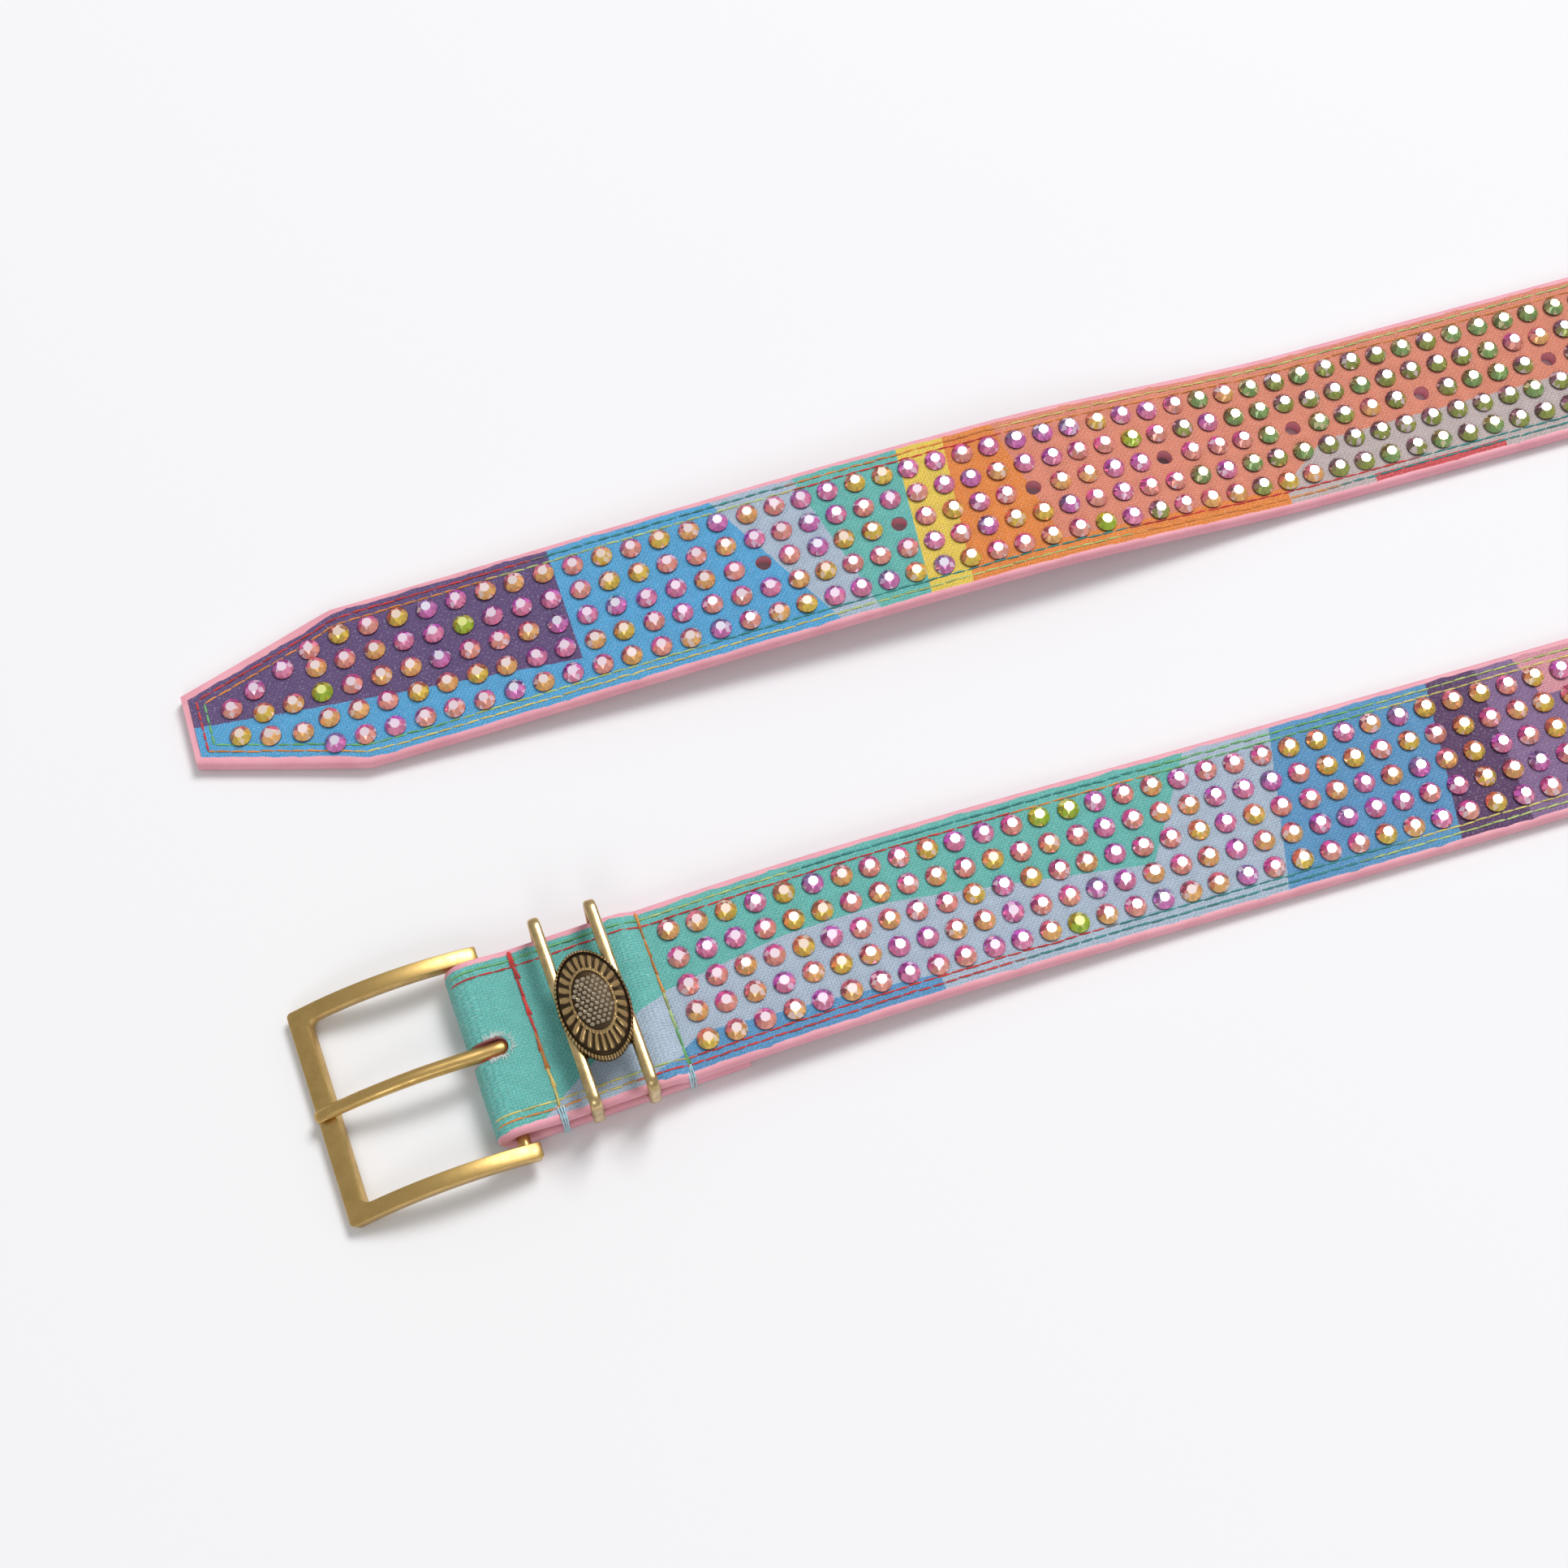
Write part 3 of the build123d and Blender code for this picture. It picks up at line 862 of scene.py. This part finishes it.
def add_stitch(tubes, s0, t0, s1, t1, width, tint, rise=0.34, base=None):
    """One stitch from (s0, t0) to (s1, t1) on the face: it dives into the canvas at both ends."""
    base = thickness + 0.08 if base is None else base
    centres, sideways, ups, widths, heights = [], [], [], [], []
    direction = math.atan2(t1 - t0, s1 - s0)
    for i in range(7):
        u = i / 6
        s, t = s0 + (s1 - s0) * u, t0 + (t1 - t0) * u
        centre, across, out = place(s)
        along = np.cross(across, out)
        bulge = math.sin(math.pi * min(max(u, 0.02), 0.98)) ** 0.3
        centres.append(centre + across * t + out * (base - 0.30 + rise * bulge))
        sideways.append(across * math.cos(direction) - along * math.sin(direction))
        ups.append(out)
        full = 0.62 + 0.38 * bulge
        widths.append(width * full)
        heights.append(width * 0.85 * full)
    tubes.add(centres, sideways, ups, widths, heights, tint, twist=5.0, lobes=0.16)


edge_colours = {
    ("outer", 1): [
        (0, "green"), (36, "lime"), (70, "teal"), (150, "green"), (205, "lime"), (300, "red"),
        (600, "teal"), (780, "orange"), (830, "lime"), (900, "yellow"), (960, "yellow"), (1010, "orange"),
    ],
    ("inner", 1): [
        (0, "red"), (62, "red"), (120, "orange"), (150, "green"), (205, "yellow"), (300, "teal"),
        (600, "teal"), (760, "red"), (830, "teal"), (930, "lime"), (985, "green"),
    ],
    ("outer", -1): [
        (0, "orange"), (14, "yellow"), (24, "red"), (60, "red"), (110, "teal"), (190, "lime"),
        (400, "red"), (700, "lime"), (800, "yellow"), (850, "orange"), (900, "teal"), (960, "red"),
    ],
    ("inner", -1): [
        (0, "yellow"), (22, "lime"), (34, "red"), (95, "red"), (130, "teal"), (200, "yellow"),
        (400, "orange"), (700, "orange"), (800, "orange"), (850, "red"), (900, "lime"), (970, "orange"),
    ],
}
stitch_lines = {"outer": 2.75, "inner": 4.35}


def make_edge_stitches(material):
    for (line, side), colours in edge_colours.items():
        tubes = Tubes()
        inset = stitch_lines[line]
        s = -2.0
        end = strap_length - inset - 0.4
        while s < end - 1.0:
            length = 3.15 + noise.normal(0, 0.12)
            after = min(s + length, end)
            drift = noise.normal(0, 0.07)
            t0 = side * (taper_line(s, inset)) + drift
            t1 = side * (taper_line(after, inset)) + noise.normal(0, 0.07)
            clear = not (line == "inner" and abs(t0) < 2.4)
            if clear:
                tint = tone_at(colours, s) * noise.uniform(0.75, 1.15)
                add_stitch(tubes, s + 0.04, t0, after - 0.04, t1, 0.42, tint)
            s = after
        if side == 1:
            add_nose_stitches(tubes, line, inset)
        name = "far" if side == 1 else "near"
        piece = tubes.build(f"edge_thread_{line}_{name}")
        slot = {"outer_far": "thread_red", "outer_near": "thread_green", "inner_far": "thread_green"}
        colour_slot = slot.get(f"{line}_{name}", "thread_orange")
        finish_piece(piece, "strap", material, colour_slot, f"edge_stitch_{line}_{name}")


def taper_line(s, inset):
    """Offset of a stitch line: parallel to the long edges, then to the tapered ones."""
    extra = 0.75 * ramp(s, shoulder - 6, shoulder + 8)
    return outline(s) - inset - extra


def add_nose_stitches(tubes, line, inset):
    s = strap_length - inset - 0.4
    half = taper_line(s, inset)
    count = 5 if line == "outer" else 4
    tone = thread_tones["red" if line == "outer" else "green"]
    for i in range(count):
        t0 = -half + 2 * half * i / count
        t1 = -half + 2 * half * (i + 1) / count
        add_stitch(tubes, s, t0 + 0.15, s + 0.01, t1 - 0.15, 0.50, np.array(tone))


def make_cross_stitches(material):
    ends = {
        "front": [(-1, "yellow"), (-0.55, "orange"), (-0.1, "red"), (0.35, "red"), (0.8, "red")],
        "rear": [(-1, "green"), (-0.45, "lime"), (0.0, "orange"), (0.6, "orange")],
    }
    for name, x in zip(("front", "rear"), cross_stitch_x):
        s = x - bar_x
        tubes = Tubes()
        reach = half_width - 3.1
        count = 8
        for i in range(count):
            t0 = -reach + 2 * reach * i / count
            t1 = -reach + 2 * reach * (i + 1) / count
            tones = [(20 * share, tone) for share, tone in ends[name]]
            tint = tone_at(tones, 20 * (t0 + t1) / 2 / reach)
            for strand in (-0.26, 0.26):
                sway = noise.normal(0, 0.16)
                add_stitch(
                    tubes, s + strand + sway, t0 - 0.15, s - strand * 0.6 - sway * 0.5, t1 + 0.2, 0.56,
                    tint * noise.uniform(0.5, 1.2), rise=0.52,
                )
            black = np.array(thread_tones["black"])
            add_stitch(tubes, s - 0.34, t1 - 0.25, s + 0.34, t1 + 0.2, 0.4, black, rise=0.3)
        over = half_width - 2.9
        main = "red" if name == "front" else "orange"
        tone = np.array(thread_tones[main])
        for sway in (-0.35, 0.3):
            add_stitch(
                tubes, s + sway, over - 1.2, s + sway * 0.5, half_width - 0.9, 0.6, tone, rise=0.5,
            )
        piece = tubes.build(f"cross_thread_{name}")
        finish_piece(piece, "strap", material, f"thread_{main}", f"cross_stitch_{name}")
        whip = whip_loops(s, lift(s) + thickness)
        piece = whip.build(f"whipped_thread_{name}")
        finish_piece(piece, "strap", material, "thread_blue", f"edge_whip_{name}")


def whip_loops(s, top):
    """Pale blue thread wound round the near edge, from the face down to the underside."""
    tubes = Tubes()
    x = s + bar_x
    tint = np.array(thread_tones["blue"])
    for offset in (-0.55, 0.0, 0.5):
        lean = noise.uniform(-0.25, 0.25)
        path = [
            (x + offset - lean, -half_width + 3.0, top + 0.12), (x + offset, -half_width + 1.2, top + 0.22),
            (x + offset, -half_width + 0.1, top + 0.02), (x + offset, -half_width - 0.16, top - 1.2),
            (x + offset + lean * 0.5, -half_width - 0.14, top / 2),
            (x + offset + lean, -half_width - 0.16, 1.4),
            (x + offset + lean, -half_width + 0.05, 0.35), (x + offset + lean, -half_width + 0.9, 0.22),
        ]
        path = np.array(smooth_path(path, 4))
        sideways = [np.array([1.0, 0, 0])] * len(path)
        ups = []
        for i in range(len(path)):
            step = path[min(i + 1, len(path) - 1)] - path[max(i - 1, 0)]
            up = np.cross(np.array([1.0, 0, 0]), step)
            ups.append(up / (np.linalg.norm(up) + 1e-9))
        size = [0.42] * len(path)
        tubes.add(path, sideways, ups, size, size, tint * noise.uniform(0.85, 1.1), twist=14.0, lobes=0.16)
    return tubes


def smooth_path(points, per_span):
    """A Catmull-Rom curve through the points."""
    points = [np.array(p, float) for p in points]
    padded = [2 * points[0] - points[1]] + points + [2 * points[-1] - points[-2]]
    result = []
    for i in range(1, len(padded) - 2):
        a, b, c, d = padded[i - 1:i + 3]
        for k in range(per_span):
            u = k / per_span
            square = (2 * a - 5 * b + 4 * c - d) * u ** 2
            cube = (3 * b - a - 3 * c + d) * u ** 3
            result.append(0.5 * (2 * b + (c - a) * u + square + cube))
    return result + [points[-1]]


def make_fray():
    """Loose white fibres round the cut edge of the prong's slot."""
    tubes = Tubes()
    end = slot_end_x - slot_width / 2
    tint = np.array([0.9, 0.9, 0.9])
    for _ in range(190):
        u = noise.uniform(0, 1)
        if u < 0.45:
            angle = noise.uniform(-math.pi / 2, math.pi / 2)
            x = end + slot_width / 2 * math.cos(angle)
            y = buckle_y + slot_width / 2 * math.sin(angle)
            outward = np.array([math.cos(angle), math.sin(angle)])
        else:
            side = 1 if u < 0.72 else -1
            x = noise.uniform(bar_x - 1.5, end)
            y = buckle_y + side * slot_width / 2
            outward = np.array([0.0, side])
        s = x - bar_x
        s = s if s > 0 else s * 0.37
        length = noise.uniform(0.2, 1.5)
        inward = noise.uniform(-0.5, 0.25)
        spin = noise.uniform(-0.9, 0.9)
        direction = np.array([
            outward[0] * math.cos(spin) - outward[1] * math.sin(spin),
            outward[0] * math.sin(spin) + outward[1] * math.cos(spin),
        ])
        surface = on_strap(s, y, thickness + 0.1)
        if s < 0:
            direction[0] = 0
        start = surface + np.array([outward[0], outward[1], 0]) * inward * 0.5
        risen = np.array([0, 0, noise.uniform(0.0, 0.35)])
        stop = start + np.array([direction[0], direction[1], 0]) * length + risen
        middle = (start + stop) / 2 + np.array([0, 0, 0.18])
        path = np.array([start, middle, stop])
        width = noise.uniform(0.05, 0.10)
        tubes.add(path, [np.array([-direction[1], direction[0], 0.01])] * 3, [np.array([0, 0, 1.0])] * 3,
                  [width, width, width * 0.4], [width, width, width * 0.4], tint, sides=4)
    piece = tubes.build("slot_fray")
    finish_piece(piece, "strap", fibre_material(), "printed_canvas")


# ---------------------------------------------------------------- buckle
frame_arc_radius = 57.0
front_bar_x, front_bar_z = -78.6, 2.27
frame_thickness = 3.2
frame_outer_half, frame_inner_half = 24.3, 20.9
frame_front_x, window_front_x, frame_end_x = -81.1, -77.3, -40.2


def arc_centre():
    half_x, half_z = (bar_x - front_bar_x) / 2, (bar_z - front_bar_z) / 2
    half_chord = math.hypot(half_x, half_z)
    drop = math.sqrt(frame_arc_radius ** 2 - half_chord ** 2)
    centre_x = front_bar_x + half_x + drop * half_z / half_chord
    return centre_x, front_bar_z + half_z - drop * half_x / half_chord


def on_arc(x, y, n):
    """A plan point carried onto the bowed surface, n out of its middle."""
    cx, cz = arc_centre()
    out = np.array([(x - cx) / frame_arc_radius, 0, math.sqrt(1 - ((x - cx) / frame_arc_radius) ** 2)])
    return np.array([cx, buckle_y + y, cz]) + out * (frame_arc_radius + n)


def rounded_section(outer, inner, height, radius, per_corner=3):
    """Points round a bar between two plan points, with softened edges: (share across, height)."""
    width = np.linalg.norm(np.array(inner) - np.array(outer))
    soft = radius / width
    points = []
    for cu, cn, start in ((1 - soft, height / 2 - radius, 0), (soft, height / 2 - radius, 90),
                          (soft, -height / 2 + radius, 180), (1 - soft, -height / 2 + radius, 270)):
        for k in range(per_corner):
            a = math.radians(start + 90 * k / (per_corner - 1))
            points.append((cu + soft * math.cos(a), cn + radius * math.sin(a)))
    return points


def corner_arc(cx, cy, radius, start, stop, count):
    return [(cx + radius * math.cos(math.radians(a)), cy + radius * math.sin(math.radians(a)))
            for a in np.linspace(start, stop, count)]


def make_buckle_frame():
    outer_r, inner_r, count = 0.9, 1.6, 9
    arms_x = np.linspace(frame_end_x, window_front_x + 2.6, 26)
    outer = [(x, frame_outer_half) for x in arms_x]
    inner = [(x, frame_inner_half) for x in arms_x]
    outer += corner_arc(frame_front_x + outer_r, frame_outer_half - outer_r, outer_r, 90, 180, count)
    inner += corner_arc(window_front_x + inner_r, frame_inner_half - inner_r, inner_r, 90, 180, count)
    across = np.linspace(frame_inner_half - inner_r - 1.2, -(frame_inner_half - inner_r - 1.2), 24)
    outer += [(frame_front_x, y) for y in across]
    inner += [(window_front_x, y) for y in across]
    outer += corner_arc(frame_front_x + outer_r, -frame_outer_half + outer_r, outer_r, 180, 270, count)
    inner += corner_arc(window_front_x + inner_r, -frame_inner_half + inner_r, inner_r, 180, 270, count)
    outer += [(x, -frame_outer_half) for x in arms_x[::-1]]
    inner += [(x, -frame_inner_half) for x in arms_x[::-1]]
    rings, along, across_values = [], [], []
    walked = 0.0
    for i, (o, n) in enumerate(zip(outer, inner)):
        if i:
            walked += np.linalg.norm(np.array(o) - np.array(outer[i - 1]))
        ring = []
        shrink = 0.25 if i in (0, len(outer) - 1) else 0.0
        for share, height in rounded_section(o, n, frame_thickness, 0.27):
            share = 0.5 + (share - 0.5) * (1 - shrink * 0.4)
            height *= 1 - shrink * 0.4
            x = o[0] + (n[0] - o[0]) * share
            y = o[1] + (n[1] - o[1]) * share
            ring.append(on_arc(x, y, height))
            along.append(walked)
            across_values.append(share * 3.4 + height)
        rings.append(ring)
    # A short bevel just inside each end
    for end, beside in ((0, 1), (-1, -2)):
        extra = np.array(rings[end]) + (np.array(rings[beside]) - np.array(rings[end])) * 0.22
        centre = extra.mean(axis=0)
        full = extra + (extra - centre) * 0.085
        rings.insert(1 if end == 0 else len(rings) - 1, full)
    count_around = len(rings[0])
    along = along[:count_around] + along + along[-count_around:]
    across_values = across_values[:count_around] + across_values + across_values[-count_around:]
    piece = loft("bowed_frame", rings)
    set_float(piece, "along", along)
    set_float(piece, "across", across_values)
    by_angle(piece, 30)
    return piece


def make_prong():
    """A round rod with a flattened eye, bowed like the frame, its tip bent down over the front bar."""
    y = buckle_y
    path = smooth_path([
        (bar_x + 2.3, y, bar_z + 2.5), (bar_x + 1.4, y, bar_z + 3.3), (bar_x - 2.6, y, bar_z + 3.4),
        (bar_x - 9.0, y, 8.9), (-60.5, y, 8.9),
        (-70.0, y, 7.55), (-76.2, y, 5.95), (-79.4, y, 4.95), (-81.0, y, 4.05), (-81.75, y, 3.2),
    ], 6)
    path = np.array(path)
    ups, sideways, widths, heights, along = [], [], [], [], []
    walked = 0.0
    for i, p in enumerate(path):
        step = path[min(i + 1, len(path) - 1)] - path[max(i - 1, 0)]
        step /= np.linalg.norm(step)
        sideways.append(np.array([0.0, 1, 0]))
        ups.append(np.cross(step, np.array([0.0, 1, 0])) * -1)
        walked += np.linalg.norm(p - path[max(i - 1, 0)])
        share = i / (len(path) - 1)
        width = 3.5 - 0.7 * share
        end = 1 - max(0, (share - 0.93) / 0.07) ** 2 * 0.72
        start = 1 - max(0, (0.05 - share) / 0.05) ** 2 * 0.6
        widths.append(width * end * start)
        swell = 2.5 + 0.45 * math.sin(math.pi * min(share * 1.6, 1))
        heights.append(swell * (1 - 0.22 * share) * end * start)
        along.append(walked)
    tubes = Tubes()
    tubes.add(path, sideways, ups, widths, heights, (1, 1, 1), sides=18)
    angles = np.linspace(0, 2 * math.pi, 41)
    eye = [np.array([bar_x + 2.22 * math.cos(a), y, bar_z + 2.22 * math.sin(a)]) for a in angles]
    radial = [np.array([math.cos(a), 0, math.sin(a)]) for a in angles]
    tubes.add(eye, [np.array([0.0, 1, 0])] * 41, radial, [3.1] * 41, [1.42] * 41, (1, 1, 1), sides=18)
    piece = tubes.build("forged_prong")
    co = np.array([v.co for v in piece.data.vertices]) / MM
    set_float(piece, "along", co[:, 0])
    set_float(piece, "across", np.arctan2(co[:, 1] - y, co[:, 2] - 6.0) * 2.0)
    return piece


# ---------------------------------------------------------------- keeper
keeper_y = 0.2
keeper_inner = 40.6
keeper_bottom, keeper_height = 3.6, 13.1
wire_width, wire_thickness = 2.6, 1.8
boss_y = keeper_y - 1.3
boss_half = (7.6, 12.3)
boss_wall = 1.8
boss_rise = 3.6
keeper_x = sum(wire_x) / 2
rim_z = keeper_bottom + keeper_height - wire_thickness + 0.8


def loop_path():
    """Middle line of a wire loop in its own plane, going round, with the outward direction."""
    half_y = keeper_inner / 2 + wire_thickness / 2
    half_z = keeper_height / 2 - wire_thickness / 2
    radius = 1.7
    points = []
    turns = (
        (half_y - radius, half_z - radius, 0), (-half_y + radius, half_z - radius, 90),
        (-half_y + radius, -half_z + radius, 180), (half_y - radius, -half_z + radius, 270),
    )
    for cy, cz, start in turns:
        for k in range(9):
            a = math.radians(start + 90 * k / 8)
            points.append((cy + radius * math.cos(a), cz + radius * math.sin(a), a))
        straight = 14 if start in (0, 180) else 5
        corners = {0: (-half_y + radius, half_z), 90: (-half_y, -half_z + radius),
                   180: (half_y - radius, -half_z), 270: (half_y, half_z - radius)}
        last = points[-1]
        goal = corners[start]
        for k in range(1, straight):
            u = k / straight
            points.append((last[0] + (goal[0] - last[0]) * u, last[1] + (goal[1] - last[1]) * u, last[2]))
    return points


def make_loop(name, x):
    """Half-round wire, flat inside and crowned outside, hammered slightly uneven."""
    middle_z = keeper_bottom + keeper_height / 2
    rings, along, across_values = [], [], []
    walked = 0.0
    path = loop_path()
    for i, (py, pz, a) in enumerate(path):
        before = path[i - 1] if i else path[-1]
        walked += math.hypot(py - before[0], pz - before[1]) if i else 0.0
        out = np.array([0.0, math.cos(a), math.sin(a)])
        centre = np.array([x, keeper_y + py, middle_z + pz])
        ring = []
        uneven = 1 + 0.025 * math.sin(walked * 0.9 + x)
        for k in range(16):
            b = 2 * math.pi * k / 16
            w, h = math.cos(b), math.sin(b)
            w = math.copysign(abs(w) ** 0.62, w)
            crown = wire_thickness / 2 * (abs(h) ** 0.75) * (1 if h > 0 else -1)
            if h < 0:
                crown = -wire_thickness / 2 * min(1.0, abs(h) * 2.4)
            ring.append(centre + np.array([1.0, 0, 0]) * w * wire_width / 2 * uneven + out * crown)
            along.append(walked)
            across_values.append(b * 1.2)
        rings.append(ring)
    rings.append(rings[0])
    piece = loft(name, rings, caps=False)
    around = 16
    set_float(piece, "along", along + along[:around])
    set_float(piece, "across", across_values + across_values[:around])
    return piece


def boss_relief(r, angle):
    """Height of the boss above its rim plane and how proud that point is, both from 0 to 1."""
    dome = math.sqrt(max(1 - (r * 0.93) ** 2, 0))
    flute = 0.5 + 0.5 * math.cos(angle * 26)
    mill = 0.5 + 0.5 * math.cos(angle * 72)
    if r > 0.93:
        return dome + 0.02 * mill, 0.35 + 0.65 * mill
    if r > 0.88:
        return dome - 0.06, 0.0
    if r > 0.60:
        depth = math.sin((r - 0.60) / 0.28 * math.pi)
        return dome - 0.075 * (1 - flute) * depth + 0.012, 0.25 + 0.85 * flute * (0.5 + 0.5 * depth)
    if r > 0.54:
        bead = 0.5 + 0.5 * math.cos(angle * 40)
        return dome + 0.035 * bead, 0.6 + 0.5 * bead
    return dome - 0.03, 0.1


def boss_point(r, angle, z):
    return keeper_x + boss_half[0] * r * math.cos(angle), boss_y + boss_half[1] * r * math.sin(angle), z


def boss_height(relief):
    edge = math.sqrt(1 - 0.93 ** 2)
    return boss_wall + boss_rise * (relief - edge) / (1 - edge)


def make_boss():
    rings_r = [1.0, 0.985, 0.965, 0.945, 0.93, 0.915, 0.90, 0.885, 0.87, 0.84, 0.80, 0.76, 0.72, 0.68, 0.64,
               0.61, 0.595, 0.585, 0.57, 0.555, 0.545, 0.535, 0.50, 0.42, 0.34, 0.26, 0.18, 0.10]
    sides = 288
    points, proud = [], []
    for level in (-0.2, 0.9):
        for j in range(sides):
            a = 2 * math.pi * j / sides
            mill = 0.985 + 0.012 * math.cos(72 * a)
            points.append(boss_point(mill, a, rim_z + level))
            proud.append(0.15 + 0.5 * (mill - 0.973) / 0.024)
    for r in rings_r:
        for j in range(sides):
            a = 2 * math.pi * j / sides
            height, shine = boss_relief(r, a)
            points.append(boss_point(r, a, rim_z + boss_height(height)))
            proud.append(shine)
    faces = ring_faces(len(rings_r) + 2, sides)
    piece = make_object("domed_boss", points, faces)
    set_float(piece, "proud", proud)
    by_angle(piece, 60)
    return piece


def make_pave(material):
    """Small faceted stones set close together in the boss's oval centre."""
    points, faces = [], []
    spacing = 1.12
    for row in range(-6, 7):
        for column in range(-4, 5):
            x = (column + 0.5 * (row % 2)) * spacing
            y = row * spacing * 0.87
            r = math.hypot(x / boss_half[0], y / boss_half[1])
            if r > 0.47:
                continue
            height, _ = boss_relief(r, 0)
            base = rim_z + boss_height(height)
            size = noise.uniform(0.46, 0.54)
            start = len(points)
            turn = noise.uniform(0, 1)
            for ring, (radius, n) in enumerate(((size, -0.15), (size, 0.10), (size * 0.55, 0.36))):
                for k in range(7):
                    a = 2 * math.pi * (k + turn + 0.5 * (ring == 2)) / 7
                    across, along = radius * math.cos(a), radius * math.sin(a)
                    points.append((keeper_x + x + across, boss_y + y + along, base + n))
            faces += ring_faces(3, 7, start=start)
    piece = make_object("pave_stones", points, faces, smooth=False)
    finish_piece(piece, "keeper", material, "marcasite", "boss_pave")


def make_metalwork():
    satin = brass("satin_brass", (0.70, 0.47, 0.17), (0.36, 0.23, 0.075), 0.30, 1.0)
    polished = brass("polished_brass", (0.74, 0.56, 0.28), (0.30, 0.20, 0.085), 0.22, 0.4, grime=0.6)
    dark = antique_brass()
    finish_piece(make_buckle_frame(), "buckle", satin, "satin_brass", "buckle_frame")
    finish_piece(make_prong(), "prong", satin, "satin_brass", "prong")
    for name, x in zip(("front", "rear"), wire_x):
        loop = make_loop(f"wire_loop_{name}", x)
        finish_piece(loop, "keeper", polished, "polished_brass", f"keeper_loop_{name}")
    finish_piece(make_boss(), "keeper", dark, "antique_brass", "keeper_boss")
    make_pave(marcasite())
    for node, material in (("hinge_bar", satin), ("boss_backplate", dark)):
        piece = frame["nodes"][node]
        piece.data.materials.clear()
        piece.data.materials.append(material)


# ---------------------------------------------------------------- studio
def make_studio():
    mesh = bpy.data.meshes.new("floor")
    size, floor_drop = 6.0, -0.0003
    corners = [(-size, -size), (size, -size), (size, size), (-size, size)]
    mesh.from_pydata([(x, y, floor_drop) for x, y in corners], [], [(0, 1, 2, 3)])
    floor = bpy.data.objects.new("floor", mesh)
    bpy.context.scene.collection.objects.link(floor)
    m = Nodes("floor_white")
    m.set(Base_Color=(0.86, 0.86, 0.875), Roughness=0.9, Specular_IOR_Level=0.0)
    floor.data.materials.append(m.material)
    world = bpy.data.worlds.new("studio")
    world.use_nodes = True
    world.node_tree.nodes["Background"].inputs["Color"].default_value = (1.0, 1.0, 1.0, 1.0)
    world.node_tree.nodes["Background"].inputs["Strength"].default_value = 0.45
    bpy.context.scene.world = world
    add_area("key", (1.9, 1.7, 3.6), (0.1, 0.03, 0.0), 1.7, 134.0)
    add_area("front", (-0.5, -1.5, 1.5), (0.05, 0.0, 0.0), 0.8, 6.0)


def add_area(name, place_m, target_m, size, power):
    light = bpy.data.lights.new(name, "AREA")
    light.size = size
    light.energy = power
    lamp = bpy.data.objects.new(name, light)
    lamp.location = place_m
    lamp.rotation_euler = (Vector(target_m) - Vector(place_m)).to_track_quat("-Z", "Y").to_euler()
    bpy.context.scene.collection.objects.link(lamp)


def make_camera():
    azimuth, elevation, distance = math.radians(-19.8), math.radians(67.3), 0.6221
    target = Vector((0.0354, 0.0388, 0.0))
    back = Vector((
        math.sin(azimuth) * math.cos(elevation), -math.cos(azimuth) * math.cos(elevation), math.sin(elevation)
    ))
    data = bpy.data.cameras.new("camera")
    data.sensor_width = 36.0
    data.lens = 65.2
    data.clip_start = 0.01
    camera = bpy.data.objects.new("camera", data)
    camera.location = target + back * distance
    camera.rotation_euler = (-back).to_track_quat("-Z", "Y").to_euler()
    bpy.context.scene.collection.objects.link(camera)
    bpy.context.scene.camera = camera


make_strap()
make_stones()
thread = thread_material()
make_edge_stitches(thread)
make_cross_stitches(thread)
make_fray()
make_metalwork()
make_studio()
make_camera()
bpy.context.scene.view_settings.view_transform = "Standard"
